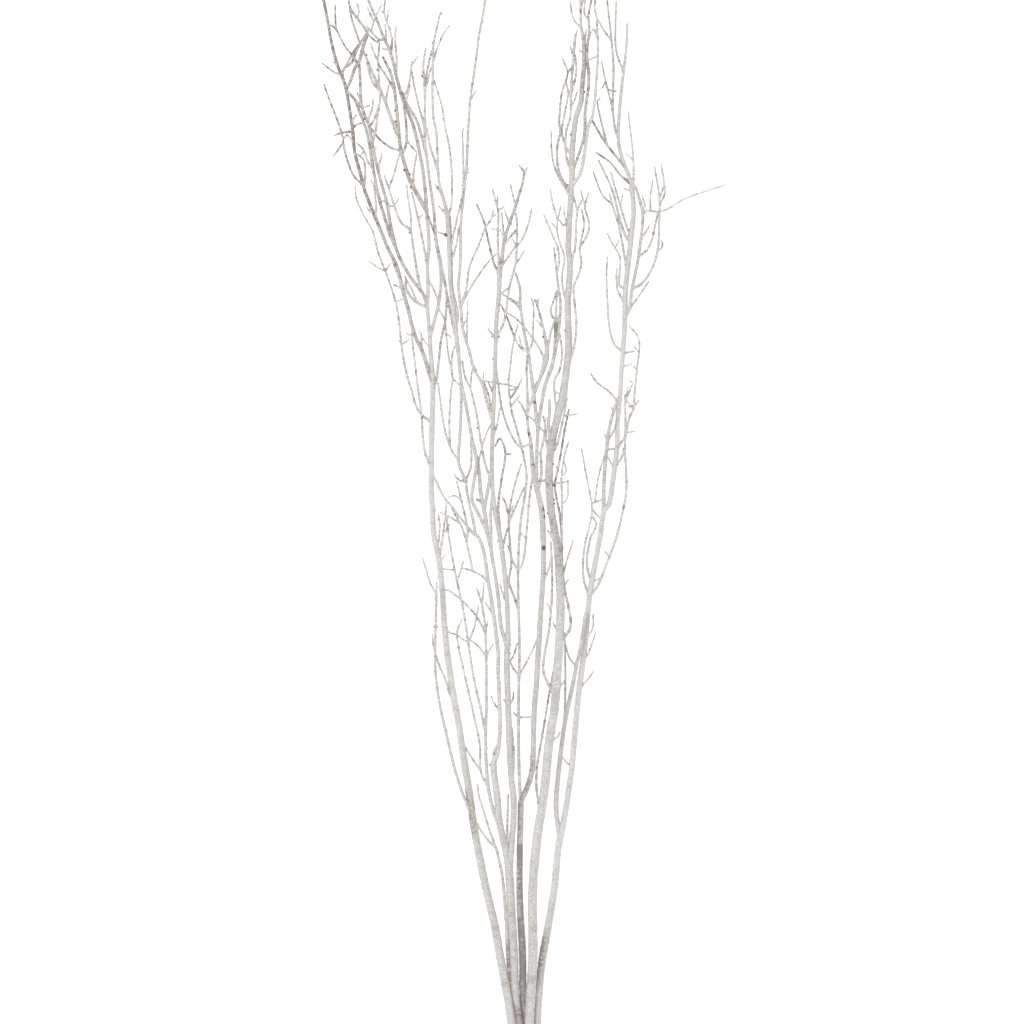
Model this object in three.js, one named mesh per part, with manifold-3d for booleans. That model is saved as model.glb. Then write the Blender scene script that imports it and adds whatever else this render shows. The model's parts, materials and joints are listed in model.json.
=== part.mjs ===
// A bunch of dry, white-painted birch branches: five branched stems, tied once near their cut ends
// and lying on a flat surface. Millimetres, +Z up. The stems run along +Y from the tie to the tips,
// and the origin is under the middle of the bunch, on the surface that it lies on.
import * as THREE from "three";
import { mergeVertices } from "three/addons/utils/BufferGeometryUtils.js";
import Module from "manifold-3d";

// The bunch is 1.37 m long and its thickest stem 11 mm across the cut end. Each route below is read
// where the stem shows to an eye that looks straight down at the bunch from EYE_HEIGHT, in line with
// EYE_X, EYE_Y. A point at the height EYE_LEVEL shows in its true place, and one above or below it is
// moved towards or away from the middle, so that it still shows where its route says.
const EYE_HEIGHT = 10300;
const EYE_LEVEL = 60;
const EYE_X = -16.8;
const EYE_Y = 734.4;

// The tie is a flat band round all the stems, with TIE_GAP between it and them.
const TIE_START = 51;
const TIE_END = 74;
const TIE_THICK = 1.6;
const TIE_GAP = 0.55;
const TIE_SIDES = 28;

// A tube gets its number of sides and of rings from its widest width: each row is that width or
// more, the sides, and the size of the bends that are left out between its rings.
const FINENESS = [[6, 8, 0.7], [4.4, 6, 1.8], [3.2, 4, 2.5], [0, 3, 3.5]];

// The corners of an eight-sided tube stand this much further out than the round stem it stands for.
const CORNER_REACH = 1.054;

// The routes. Each shoot has a line with its name, the shoot it grows from (a leader grows from
// none), its width at the root and at the tip and how far it climbs from root to tip, and then the
// points x,y that it passes through, seen from above. A root point lies on the shoot it grows from.
const FAR_LEFT_STEM = `
A - 11 2.8 0
  -6.5,3 -6.8,25 -7.6,50 -10,80 -17,120 -23.5,160 -31,200 -38,240 -47.5,280 -55.8,320 -63,360
  -68.5,400 -75,440 -81,480 -88,520 -94,560 -98,600 -100.5,640 -105,680 -110.5,705 -112.5,740
  -113.8,760 -113.3,820 -112,888 -115.5,940 -118.5,985 -117.5,1000 -118.5,1030 -116.5,1055
  -118.5,1085 -121.5,1125 -126.5,1160 -136,1200 -148,1230 -155,1255 -163,1287 -171,1304 -179.5,1326
  -189,1348 -194,1364
A1 A 3.5 3 20
  -64,366 -74,391 -84,420 -92,452 -98.5,480 -104,506 -108.5,540 -109,575 -107.5,636
A1a A1 2 1.6 2
  -107.5,636 -107,648
A1b A1 2 1.6 6
  -107.5,636 -114.5,648 -119.5,664 -124,678
A2 A 2.2 1.6 10
  -86,508 -92,516 -95.5,530 -105,553 -111.5,575 -112.5,587
A3 A 1.8 1.4 4
  -97.3,592 -94,591 -84,587
A4 A 1.8 1.4 3
  -104.5,676 -100,679 -97.5,682
A5 A 2.6 1.6 8
  -105.3,681 -102,692 -99.3,711 -96.7,730 -95.5,749
A5a A5 2 1.6 3
  -99.5,711 -97,710.5 -94.5,716 -92,719
A6 A 2 1.4 6
  -107.5,690 -104.5,703 -103.5,722 -105.5,731
V A 2.8 2 20
  -113.5,790 -120,801 -123.5,820 -125.5,850 -131,893 -134.7,925 -137.5,950
Va V 1.6 1.3 1
  -137,946 -142,948
P A 2.8 1.8 30
  -112.8,842 -122,848 -130,857 -137.5,880 -144.5,905 -149.5,934 -152.5,963 -157,988 -166,1016
  -177.5,1046 -183.5,1070 -195,1091 -203.7,1111 -205,1125
Pa P 1.6 1.3 2
  -149.3,935 -152,940.5
Pb P 1.6 1.3 3
  -149.3,935 -145,938 -141,941
Pc P 1.8 1.4 3
  -156.5,986.5 -153,988 -148.5,989.5
Pd P 1.8 1.4 4
  -169.5,1024 -178,1028 -187,1034.5
Pe P 1.6 1.3 2
  -169.5,1024 -163,1032
Q A 4.6 3.2 22
  -112,888 -117,903 -124,926 -133.5,947 -142,979 -148.5,1003 -155.5,1030 -166,1051 -173.5,1070
  -183,1093 -193.5,1120 -199.5,1143 -205.5,1166 -208,1192 -211.5,1216 -217.5,1248 -226,1270
  -233.5,1298 -238.5,1327 -245,1358
Qa Q 2 1.5 4
  -126.5,931 -125.5,947 -127,950
Qb Qa 1.6 1.3 1
  -125.5,946 -121,938 -118,935
Qc Q 2 1.5 3
  -148.3,1002 -151,1004 -159.5,1007.5
Qd Q 2.4 1.8 14
  -196,1126 -207,1138 -214,1155 -218.5,1172 -221,1188 -229,1211 -236,1229 -242,1246
Qe Qd 1.8 1.4 3
  -219.5,1181 -215,1187 -213.5,1191
Qf Qd 1.8 1.4 4
  -219.5,1179 -226,1168 -230.5,1162.5
Qg Q 2 1.5 5
  -194.5,1124 -193,1138 -194.5,1156 -201,1163
Qh Q 2 1.5 6
  -181,1088 -180,1103 -183,1126 -185,1131
Qi Q 2 1.6 2
  -183.5,1095 -188,1096 -191,1100
Qj Q 2 1.5 4
  -208,1192 -221,1189.5 -229,1186.5
Qk Q 2 1.5 3
  -208.3,1196 -202,1200 -198,1201
Ql Q 1.6 1.3 2
  -206.8,1178 -214,1187
Qm Q 2 1.5 3
  -209,1201 -205.5,1208 -203,1212
R Q 3 4.5 8
  -215.5,1240 -210.5,1252 -205,1268 -200,1276 -196.5,1289 -190,1310
Ra Q 3 2.6 11
  -215,1242 -206,1230 -197,1219
Rb Q 2.2 1.6 6
  -222,1259 -230,1262 -243.5,1272
Rc Q 2 1.4 3
  -226,1270 -232,1275
Rd R 2.2 1.6 6
  -202.3,1273 -209,1283 -217,1293 -224,1306 -229,1315 -237,1320
Re Rd 2 1.5 3
  -228.5,1314 -228.5,1320 -229,1341
Rf Q 2.5 2.5 8
  -221,1256 -219.5,1264 -213,1276 -207,1286 -196,1302 -191,1309
Rg Rf 3 2.6 4
  -217,1268 -209,1274 -205,1284 -199,1296
Rh R 3 2 6
  -190,1309 -198,1321 -205,1330 -211,1340 -214.5,1360
Ri Rg 2.3 1.8 4
  -199,1296 -204,1310 -209,1326 -212,1340
Rj Rh 1.8 1.4 3
  -202,1326 -200.5,1335 -203,1346
S A 3.5 2.4 10
  -118.5,980 -128,984 -137,991 -144,1002 -151,1012 -160.5,1037
Sa S 2 1.6 4
  -131,986 -137,1001 -145,1016
Sb S 1.8 1.5 2
  -143.5,1001 -144.5,1016
L A 4 3 30
  -118.5,980 -123.5,996 -132,1007 -144,1025 -154,1045 -159,1063 -163.5,1084 -167,1106 -173,1127
  -178.5,1148 -183.5,1172 -188.5,1198 -194.5,1213 -198,1226 -199.2,1256 -200.5,1274
La L 1.8 1.6 3
  -167.5,1108 -175,1108
Lb L 1.8 1.4 2
  -166.3,1102 -160,1101
Lc L 2.5 2 4
  -188,1196 -183,1204 -177,1222
Ld L 2.4 1.8 12
  -184.5,1178 -180.5,1192 -178.5,1208 -175.5,1228 -177,1260 -177,1283 -176,1296
Le Ld 2 1.6 3
  -176.9,1273 -183,1287 -187,1297
Lf L 1.6 1.3 2
  -196.3,1219 -189,1222
Lg L 2 1.5 3
  -197.5,1224 -202,1236
Lh L 2 1.5 5
  -190.5,1203 -184.5,1219 -183.5,1229
Li L 1.8 1.4 2
  -182.7,1168 -179,1173
Lj L 1.8 1.4 4
  -178,1146 -173.5,1161 -173,1166
M L 4 3 12
  -156,1051 -163.5,1068 -171,1092 -177.5,1115 -182,1138 -186,1163 -191,1190 -196,1205 -205,1228
Ma M 2.2 1.6 5
  -183,1145 -190,1155 -195,1169 -202,1176
Mb Ma 1.5 1.3 2
  -195,1168 -198,1163
N L 3.4 2 38
  -126.5,1001 -131.5,1027 -135.5,1053 -139,1072 -150,1082 -158.5,1103 -164.5,1122 -169.5,1137
Na N 2.4 1.6 6
  -164.5,1122 -158,1142 -151,1167
Nb N 1.6 1.4 2
  -158,1102 -153.5,1109.5
Nc N 2.2 1.6 6
  -138.8,1071 -138,1086 -141.7,1112 -143.2,1128
T A 5 3 18
  -119.2,1094 -129,1113 -139,1131 -144,1146 -150,1168 -153,1192 -156.5,1230 -161,1257 -171,1279
Ta T 4.5 2.6 14
  -152.5,1187 -161,1204 -169,1227 -181.5,1255 -194.5,1286
Tb Ta 2.4 2 5
  -174,1238 -184,1250 -191,1272
Tc Ta 2.2 1.6 4
  -168.8,1226 -166,1240 -164.5,1247
Td T 2.6 2 5
  -157.8,1240 -168,1258 -176,1270
Te T 3 2.4 8
  -149.5,1165 -144,1175 -143.8,1200 -147,1225
Tf Te 2 1.5 3
  -144,1181 -139,1175 -132,1167
Tg T 2.3 1.8 6
  -150,1168 -161,1171 -175,1181 -186,1195
Th T 2 1.5 3
  -152,1182 -157,1190 -159.5,1198
Ti T 2.4 1.8 5
  -134.5,1123 -135,1141 -131.3,1163
B1 A 3 2.4 3
  -162.8,1285 -161,1297 -160.5,1302
B2 A 2 1.5 3
  -168.5,1298 -168,1307 -169,1318
B3 A 2.3 1.6 6
  -157,1261 -155,1277 -157,1300 -156,1316
B4 A 2 1.6 4
  -169,1300 -177,1302 -185,1310 -191,1317
B5 B4 2.2 1.7 5
  -175,1301.5 -179,1298.5 -187,1305
B6 B4 2 1.5 4
  -186,1311 -182,1325 -174,1342
B7 B6 2.5 1.8 3
  -182.5,1323 -186,1330 -190.5,1340
B8 B1 2 1.6 4
  -160.6,1300 -163,1312 -170,1333 -167.5,1360
B9 B8 1.6 1.3 1
  -166,1322 -165.5,1338
C1 A 2.4 1.8 4
  -150,1237 -145,1236 -140,1250 -137,1274
C2 C1 1.8 1.4 2
  -137,1271 -130,1281
D1 A 4 2.6 26
  -115.8,942 -112,957 -106,980 -102.3,1006 -102.7,1026 -108,1058 -111,1097 -115,1126 -119,1160
  -121.2,1178 -121.5,1238 -123.3,1270 -120.5,1290
D2 D1 2 1.5 5
  -105,985 -112,1004 -117.5,1014
D3 D1 1.8 1.4 3
  -106,980 -101,972 -98,965
D4 D1 2.4 1.8 4
  -108.7,1066 -113,1078 -118,1091
D5 D1 2.3 1.8 7
  -121.2,1196 -129,1223 -134,1245 -137.2,1264
D6 D1 3.5 2.8 -10
  -119.5,1163 -126,1188 -132,1206 -144,1226 -153,1247
D7 D6 2 1.6 3
  -144,1226 -141,1238 -139.5,1246
D8 D1 2.6 2 5
  -121.7,1243 -119,1262 -113.5,1287
D9 D1 2.2 1.6 3
  -121.5,1238 -117,1256 -113.5,1269
E1 A 3 2.2 16
  -112.1,880 -107,898 -105,914 -102,941 -97,964 -95.3,995 -98,1014 -106,1051
E2 A 3 2.2 22
  -118.4,1027 -121.5,1046 -128,1080 -136.7,1117
E3 E2 1.8 1.4 3
  -129.5,1087 -123,1092
`;

const LEFT_STEM = `
B - 9.6 2.4 0
  -6,0 -6.2,25 -6.7,50 -7.2,80 -8,120 -13.5,160 -14,180 -15.5,220 -19,280 -21,310 -27,340 -32.5,366
  -34.5,392 -39,432 -34,446 -31.5,470 -31.5,495 -33.5,545 -33.5,565 -39.5,615 -46,655 -50.5,686
  -57,704 -64,709.5 -73,720 -88,740 -99,753 -110,776
F B 4.8 3 16
  -11.5,136 -17.5,165 -21.5,200 -24,245 -29,300 -36,331
Fa F 2.6 1.8 5
  -36,331 -46,341 -57,357 -57,361
Fb F 2.6 1.8 7
  -36,331 -43,350 -53,382 -57,396 -58,407
Ba B 2.5 1.8 8
  -22.5,316 -22.5,345 -22,375 -21.3,394
Bb B 2 1.5 3
  -31.5,494 -40,508 -41,512
Bc B 2.6 2.2 0
  -38.8,431 -43,431
Bd B 2.6 2 2
  -36.5,439 -38.5,446 -35,454
Be B 2 1.5 3
  -39.3,611 -48.3,625
H B 4.5 2.2 22
  -30,354 -39,375 -45,402 -48.5,450 -47.5,510 -48.7,590 -52.5,621 -59,643
Ha H 2.8 2 -14
  -45.1,403 -54,422 -55.5,455 -64,496 -74.5,543 -83,588 -77.3,605
Hb Ha 2.2 1.6 4
  -54,424 -66,441 -74,454
Hc H 2.8 2.2 8
  -48.3,466 -54,496 -62.3,533 -68.5,572 -76,620 -84.3,658 -91.7,699 -94.5,720 -94.2,729
Hd Hc 2 1.5 4
  -69.3,577 -62,596 -57,621
He Hc 1.8 1.4 3
  -69.3,577 -84,587.5
Hf Hc 2 1.5 3
  -82.5,652 -79,662 -75.6,674
Hg Hc 1.8 1.4 2
  -85.5,664 -98,666
Hh H 2.4 1.7 -8
  -48.8,590 -59,608.5 -75,626.5 -93,640.5 -97,640.5
Hi H 2 1.5 4
  -48.3,562 -57,573 -67,581
Hj H 2 1.5 3
  -48.3,562 -40,575.5
Hk H 2 1.5 2
  -48.7,590 -46,602
Hl H 1.8 1.4 2
  -52.7,622 -50.5,648
I B 2.6 1.8 12
  -45,650 -54,658.5 -69,665.2 -75.5,667
Ia I 2.6 2 6
  -64,663 -69.5,689 -76.5,715 -88.5,737
Ib Ia 2.4 1.8 6
  -71.8,697 -70,712 -77.3,747 -83.5,772
Ic Ia 1.8 1.4 4
  -79.5,721 -90,727.5 -101.5,733.5
Id Ib 1.8 1.4 3
  -77.5,748 -86,754 -94,751.5
K B 3.4 2.2 8
  -60.5,707 -64,727 -68,743 -71.7,771 -66,790 -66.3,822
Ka K 2.2 1.6 3
  -71.7,771 -80,772.5 -86,779
Kb K 4 3.4 20
  -71.5,769 -80.5,792 -80.7,808 -79.2,830 -78,855 -78.3,892
Kc Kb 2.6 2 6
  -80.6,796 -91,812 -98.5,838 -105.5,888
Kd Kc 2.4 1.7 8
  -90.5,811 -92,840 -90.5,876 -88.3,896 -92.8,920 -97,960
Ke Kd 2.2 1.6 3
  -89.8,904 -88.7,922 -85.5,934
Kf Kd 1.8 1.4 2
  -88.5,894 -79,886
Kg Kd 1.8 1.4 2
  -95.6,950 -90,944
G B 7 2 0
  -20.4,302 -17,340 -14.5,380 -18,420 -20,460 -23,560 -21.5,585 -23.7,640 -30.5,700 -38,741
  -41,785 -39.7,840 -36.8,920 -35.8,960 -32.8,993 -32,1025 -34,1060 -33.2,1094 -36.5,1107 -40,1121
Ga G 2.2 1.6 6
  -17.3,410 -14.5,433 -15.5,460 -19,488
Gb G 2 1.6 1
  -21.5,505 -28,510
Gc G 2 1.5 3
  -21.5,503 -16,509 -15,517
Gd G 2 1.5 4
  -22.9,552 -15.5,561 -10.5,577
Ge G 2 1.5 4
  -23,624 -28,637 -31,647
Gf G 2.4 1.7 4
  -29.2,688 -25,704 -22,716
Gg G 3 2.2 10
  -29.2,688 -31.5,716 -33.3,742 -30,770 -25.5,797 -25.5,810 -31.5,823 -36.5,814
Gh Gg 2 1.6 2
  -25.3,804 -19,804
Gi G 2 1.5 5
  -39.9,826 -36,834 -31,860
Gj G 2 1.5 3
  -38,876 -45,889
Gk G 2.2 1.6 3
  -36.2,943 -45,953.5
Gl G 2 1.5 4
  -32.8,994 -21.5,1003
Gm G 1.8 1.4 3
  -34.3,1099 -34,1113
Gn G 2.6 2 8
  -32.2,1018 -38.5,1033 -45,1059 -50.5,1083 -58.7,1102.5
Go Gn 2 1.5 3
  -49,1077 -43,1084 -38.7,1096.5
W G 4.5 2.6 12
  -32.2,1013 -28.6,1040 -26,1060 -19.8,1081 -10.7,1107 -2.3,1141 -8,1150
Wa W 2 1.6 1
  -2.6,1139 1.5,1147.5
Wb W 2.4 1.7 5
  -26.5,1056 -16,1068 -10.7,1076 -13,1097
Wc W 1.8 1.4 4
  -26,1060 -28,1081 -29.3,1094
Wd W 2.2 1.5 3
  -20,1080 -25.5,1095
We W 2.2 1.6 4
  -12.8,1101 -19,1128
Wf W 2.2 1.6 5
  -29.5,1030 -21,1041 -11.5,1055
J G 2.8 2.4 10
  -36.2,942 -27,961 -24.3,974 -20,1004 -12.8,1032 -11,1058 -10.7,1076
Ja J 2 1.5 2
  -11.3,1053 -16,1061.5
Jb J 2.2 1.6 5
  -11.3,1053 -4,1063 3,1081 7,1100
Jc J 2 1.5 3
  -12.8,1031 -2.5,1047
X G 3.6 2.6 0
  -39.7,841 -46.8,866 -53,889 -63,907 -67.5,925 -76,955 -77.8,975 -81,1005 -79,1032 -77.9,1082
  -74.3,1119 -71.5,1146 -70,1180 -67,1229 -61,1270 -56,1309 -50,1342 -49,1366
Xa G 2.2 1.6 4
  -39.5,846 -44.8,874 -51,893 -51,900
Xb X 2.2 1.6 6
  -75,1112 -75.3,1152 -76.3,1189 -75.5,1194
Xc X 2 1.5 5
  -71,937 -70.8,952 -70,986
Xd X 2.4 1.7 9
  -78.5,982 -72,1001 -68,1028 -56,1056.5 -48.7,1076.5
Xe X 2 1.5 6
  -78.3,980 -68,1001 -51,1027 -43,1037
Xf X 2 1.5 2
  -67,1229 -60.5,1239
Z G 4.5 2.2 0
  -22.7,570 -30,598 -33,630 -39,670 -47,710 -57,731.5 -65,749.5 -63.5,765 -59.7,795 -65,823
  -72,862 -78,892 -81,922 -85.3,962 -90.7,1010 -92.5,1055 -95.5,1095 -104,1128 -106,1156
  -107.5,1189 -111,1207 -112.3,1240 -111.8,1260 -111,1296 -108,1311 -103,1333
Za Z 3.6 3 7
  -84.5,952 -82.3,973 -88.5,1003 -89.7,1045 -91.3,1088
Zb Z 3 2.2 -10
  -82.7,936 -89,964 -97,1007 -102.5,1036 -107.5,1062 -110.5,1098 -115,1130
Zc Z 2.4 1.6 3
  -93,1066 -104,1070
Zd Z 2.4 1.8 3
  -95,1091 -104,1100.5
Ze Z 2 1.5 3
  -101,1113 -108.5,1127
Zf Z 3 2 -6
  -105,1141 -110,1157 -115,1173 -119,1194 -120.5,1201
Zg Z 2.2 1.6 5
  -91.5,1030 -84.5,1052 -80.2,1078
Zh Z 2.6 1.8 8
  -92,1042 -86.7,1069 -79,1103 -76,1118
Zi Z 2.5 1.8 10
  -94.5,1086 -89.3,1105 -89,1132 -91,1166 -97.3,1198 -101.2,1222 -110.5,1253
Zj Z 2 1.5 3
  -111.6,1272 -107.5,1288 -100,1306 -91.5,1319
Zk Z 3 3 6
  -40.8,682 -42,715 -42.5,730 -41,752
Y Z 5 4 4
  -46.5,708 -48.8,728 -54,755 -57,787 -65,823
Ya Y 4 3.4 6
  -50,736 -46.5,757 -41.5,786
Yb Y 2 1.5 2
  -52,744 -58,749.5
Yc Y 1.8 1.5 2
  -57.5,791 -54,808
Yd Ya 2.6 2 10
  -43.5,775 -49.2,793 -54.5,820 -59.3,852 -67,883 -73,896 -76.5,916
Ye Yd 2 1.5 2
  -67,883 -65.3,900 -64.3,906
Yf Yd 1.8 1.4 3
  -52.8,812 -46,832 -41,842
`;

const MIDDLE_STEM = `
C - 8.8 2.2 0
  3.7,5 3.5,25 3.1,50 2.4,80 1.5,120 -3.5,160 -4,200 -7.7,280 -6.3,380 -5.8,388 2,405 7.5,425 8.5,440
  9.5,490 12.5,530 16.7,600 20.8,670 19.5,730 16.5,748 8.8,781 5.3,820 1.8,840 1.7,872 0.7,908
  2.3,927
Ca C 2 1.5 4
  19.8,650 26.5,664 29.5,677
Cb C 3.6 2.6 7
  13,762 18,776 18,796 16.8,806
Cc Cb 2.4 1.8 4
  17,803 22,829 17,835.5
Cd C 2 1.5 2
  1.8,848 -5,862 -10.5,870
Ce C 3.2 2.4 10
  1.8,854 8,872 14.7,889 22.5,912 25,925 22.6,946 17,970 12,987
Cf Ce 2.6 1.8 8
  22,914 17,929 4,948.5 -12,966.5 -24,974
Cg Ce 2 1.5 2
  20.8,956 13.7,963.5
Ch Ce 3 2.2 4
  25,926 29.3,948 33,961
O C 3.2 4 11
  12.3,764 13,806 14.6,835 18.3,862 24,890 31,908.5 35,931 36,960 35.7,967
Oa O 2.2 1.8 4
  35.8,961 29.5,975 34,991 37.5,1001
Ob O 2 1.8 6
  35.7,966 36.5,985 37.5,1001
Oc O 3.6 2.2 10
  36,961 40.5,968 41.3,986 38,1011 33.7,1050
Od Oc 2.4 1.7 6
  37.2,1021 39.7,1032 38.5,1050 31.5,1067 22,1089.5
U O 4.5 2.8 13
  14.5,832 10.7,863 7.5,890 3,923 -3,955 -7,986 -7.2,1002 -12,1020
Ua U 3 2.2 3
  -5.7,977 -13,985 -26,994.5
Ub U 1.8 1.4 3
  2.2,927 -5,933 -8.5,946
Uc U 2 1.5 4
  2.2,927 7,936 8.4,952 9,980 6.5,991
Ud U 2.2 1.8 1
  13,842 4.5,848.5
V C 3.6 1.8 0
  -6.2,382 -8.3,420 -9,500 -8,575 -9.6,660 -6.7,720 0.7,773 -3,802 -9.3,827 -17.3,856 -20.9,888
  -19.2,906 -15.8,934 -10,958.5
Va V 1.8 1.5 1
  -8.9,487 -13,492
Vb V 1.8 1.5 -2
  -8.9,489 6,488.5
Vc V 1.8 1.4 3
  -8.5,538 -15.5,547 -18,553
Vd V 2 1.5 4
  -8.5,539 0,553 8,569 12.5,581
Ve V 2.8 2 6
  -8.7,615 -13,629 -20.5,651 -17.8,671 -20.8,726 -17,752 -11,776 -6,791
Vf Ve 2.2 1.6 3
  -20.7,727 -25,746 -29,753
Vg Ve 2.4 1.8 3
  -20.5,721 -15,735 -7.7,752 -2.5,763
Vh V 1.8 1.4 3
  -9.6,664 -15,674 -22,694
Vi V 2.5 2.2 4
  -9.5,663 -4,673 0,702 4,750 7.3,775
Vj V 2.6 1.8 6
  -5.2,810 -14,820 -23.7,841 -30,864 -35.5,906
Vk V 2 1.6 1
  -5.2,811 5,816
Vl V 2 1.5 3
  -18.3,860 -12,869 -8.5,873
Vm V 2.2 1.6 4
  -19,870 -10,884 -5.3,894
Vn V 1.6 1.3 5
  -20.9,886 -35,889 -50,892
Vo V 2.6 1.7 4
  -13.5,943 -22,966 -29.5,982
Vp V 1.5 1.3 3
  -13.7,943 -7,932 -3,927
`;

const RIGHT_STEM = `
D - 11 2.4 0
  4.9,2 4.5,25 3.6,50 3.4,80 4,120 6,160 8.3,200 8,280 13,340 22,400 28,460 34.3,500 41,600 41,640
  37.5,693 29.7,740 27.6,780 31,818 38,849 45.2,880 51,932 50,985 53,1030 50.7,1052 53,1100
  55.3,1140 54.8,1159 59.5,1205 66,1227 67.3,1246 70,1277 69,1298 65.7,1322 66.3,1341 69.5,1354
Da D 2.4 1.8 8
  17.8,372 13,397 13,427 21,475 29,523 33.3,546
Db D 3.2 2.6 6
  35.3,514 27,527 21,542 21,556 28.5,600 31.4,650 29.8,697
Dc Db 1.6 1.4 2
  30,615 25.5,624.5
Dd D 3 2 6
  39.7,579 50,589 53.7,600 51.7,617 46.7,641 43.6,668 43,701 40.7,730 34.6,766 38.5,786
  42.3,808 46.3,832 51.6,858
De Dd 1.6 1.4 1
  45.9,647 51,653.5
Df Dd 2 1.4 3
  44.6,659 49.3,677 56,698.5
Dg Dd 2.4 1.5 8
  43.1,695 43.4,727 43,758 42.6,776 45.6,800 51,818.5
Dh Dg 1.5 1.3 1
  42.8,777 48,783 46,795
Di D 2 1.4 3
  28.5,770 43,769.5 50,772
Dj D 4 3.2 4
  36.5,699 29.5,708 26,712.5
Dk D 2.2 1.7 1
  27.8,773 15,771.5
Dl D 2 1.5 2
  28,458 38,465 41,471
Dm D 2 1.6 2
  35.7,520 42,526 45.5,531
Dn D 1.8 1.4 2
  40,584 33,600.5
Do D 2.8 2 5
  29.3,802 24.4,819 22.5,842 20.3,850
Dp D 3.6 3.4 4
  30.7,814 26.8,838 28.2,854 28,869.5
Dq D 2.6 2.2 5
  30.3,807 36.3,813 43.2,840 47.6,862 49.2,885
Dr Dq 1.6 1.5 2
  45,850 62,852
Ds D 2.6 2 8
  37.8,848 34.5,873 34.2,893 40,904 43,926 40,951
Dt D 2.8 2 16
  49.3,914 56,925 60.5,958 58,989 57.4,1005 64,1022 66.5,1034 64.4,1050 69.7,1080 67,1096.5
Du Dt 2.3 1.7 8
  64.7,1051 73,1066 76,1079 71,1100 75,1118
Dv Du 1.8 1.4 2
  71,1100 66,1118.5
Dw D 3 2 8
  52.6,1032 58.7,1050 60.5,1084 62.5,1098 67,1108
Dx Dw 2 1.8 -6
  61.7,1095 57,1113 54,1117
G D 2.6 1.6 10
  50.2,983 44.3,1002 43.4,1020 46,1040 41,1056 37.1,1075 41.5,1101
Ga G 1.8 1.5 1
  37.3,1074 31.5,1080.5
Gb G 2.2 1.6 4
  39,1085 32,1105 29,1122.5
Gc D 2.4 2 4
  51.8,1076 47.5,1080 45,1078 40.3,1085
Gd Gc 1.6 1.3 2
  48.5,1079.5 45.5,1095 46,1099
H D 3.4 1.8 18
  54.2,1121 44,1132 38,1150 37.5,1173 41,1190 39.8,1202 43,1238 50,1261 44.5,1277
Ha D 2.4 1.6 8
  53.5,1110 47.5,1122 38,1138 31.7,1159 30,1190.5
Hb H 1.6 1.8 1
  49.5,1260 55.5,1270
I D 2.4 1.8 6
  55,1162 48.5,1171 43.2,1191 48,1221 50.6,1237 48.5,1249
J D 2.6 3 14
  55.1,1138 48.4,1160 48,1190 53,1208 54,1240 56.5,1276 59,1306
Ja J 2.4 2 3
  53.9,1233 60.3,1262 59.2,1281
Jb J 2 1.8 2
  57,1280 53.5,1291.5
Jc J 1.8 1.5 1
  58.4,1298 61,1310.5
Jd J 1.8 1.5 1
  53.4,1218 59.3,1231.5 61,1237
K D 4.4 2 16
  54.5,1125 65,1140 71,1170 75,1197 80.3,1212 84,1247 86.5,1288 84.5,1329 82.3,1340 85,1360
Ka K 1.8 1.5 2
  86.2,1301 80.8,1314 75.5,1300
Kb K 1.5 1.4 1
  86,1281.5 75.5,1277
L D 2.8 2.4 10
  55.3,1142 61,1157 70,1187 71,1215 75.5,1252 73.2,1286 76,1315 75,1331 81.5,1360
La L 2 1.6 3
  75.4,1324 70,1333 71,1351
M D 2 1.6 3
  69.7,1288 72,1313.5
N D 2 1.6 5
  66.6,1315 57,1326 53,1344.5
O D 2 1.6 3
  65.8,1326 64.8,1346 63.5,1356
`;

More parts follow.
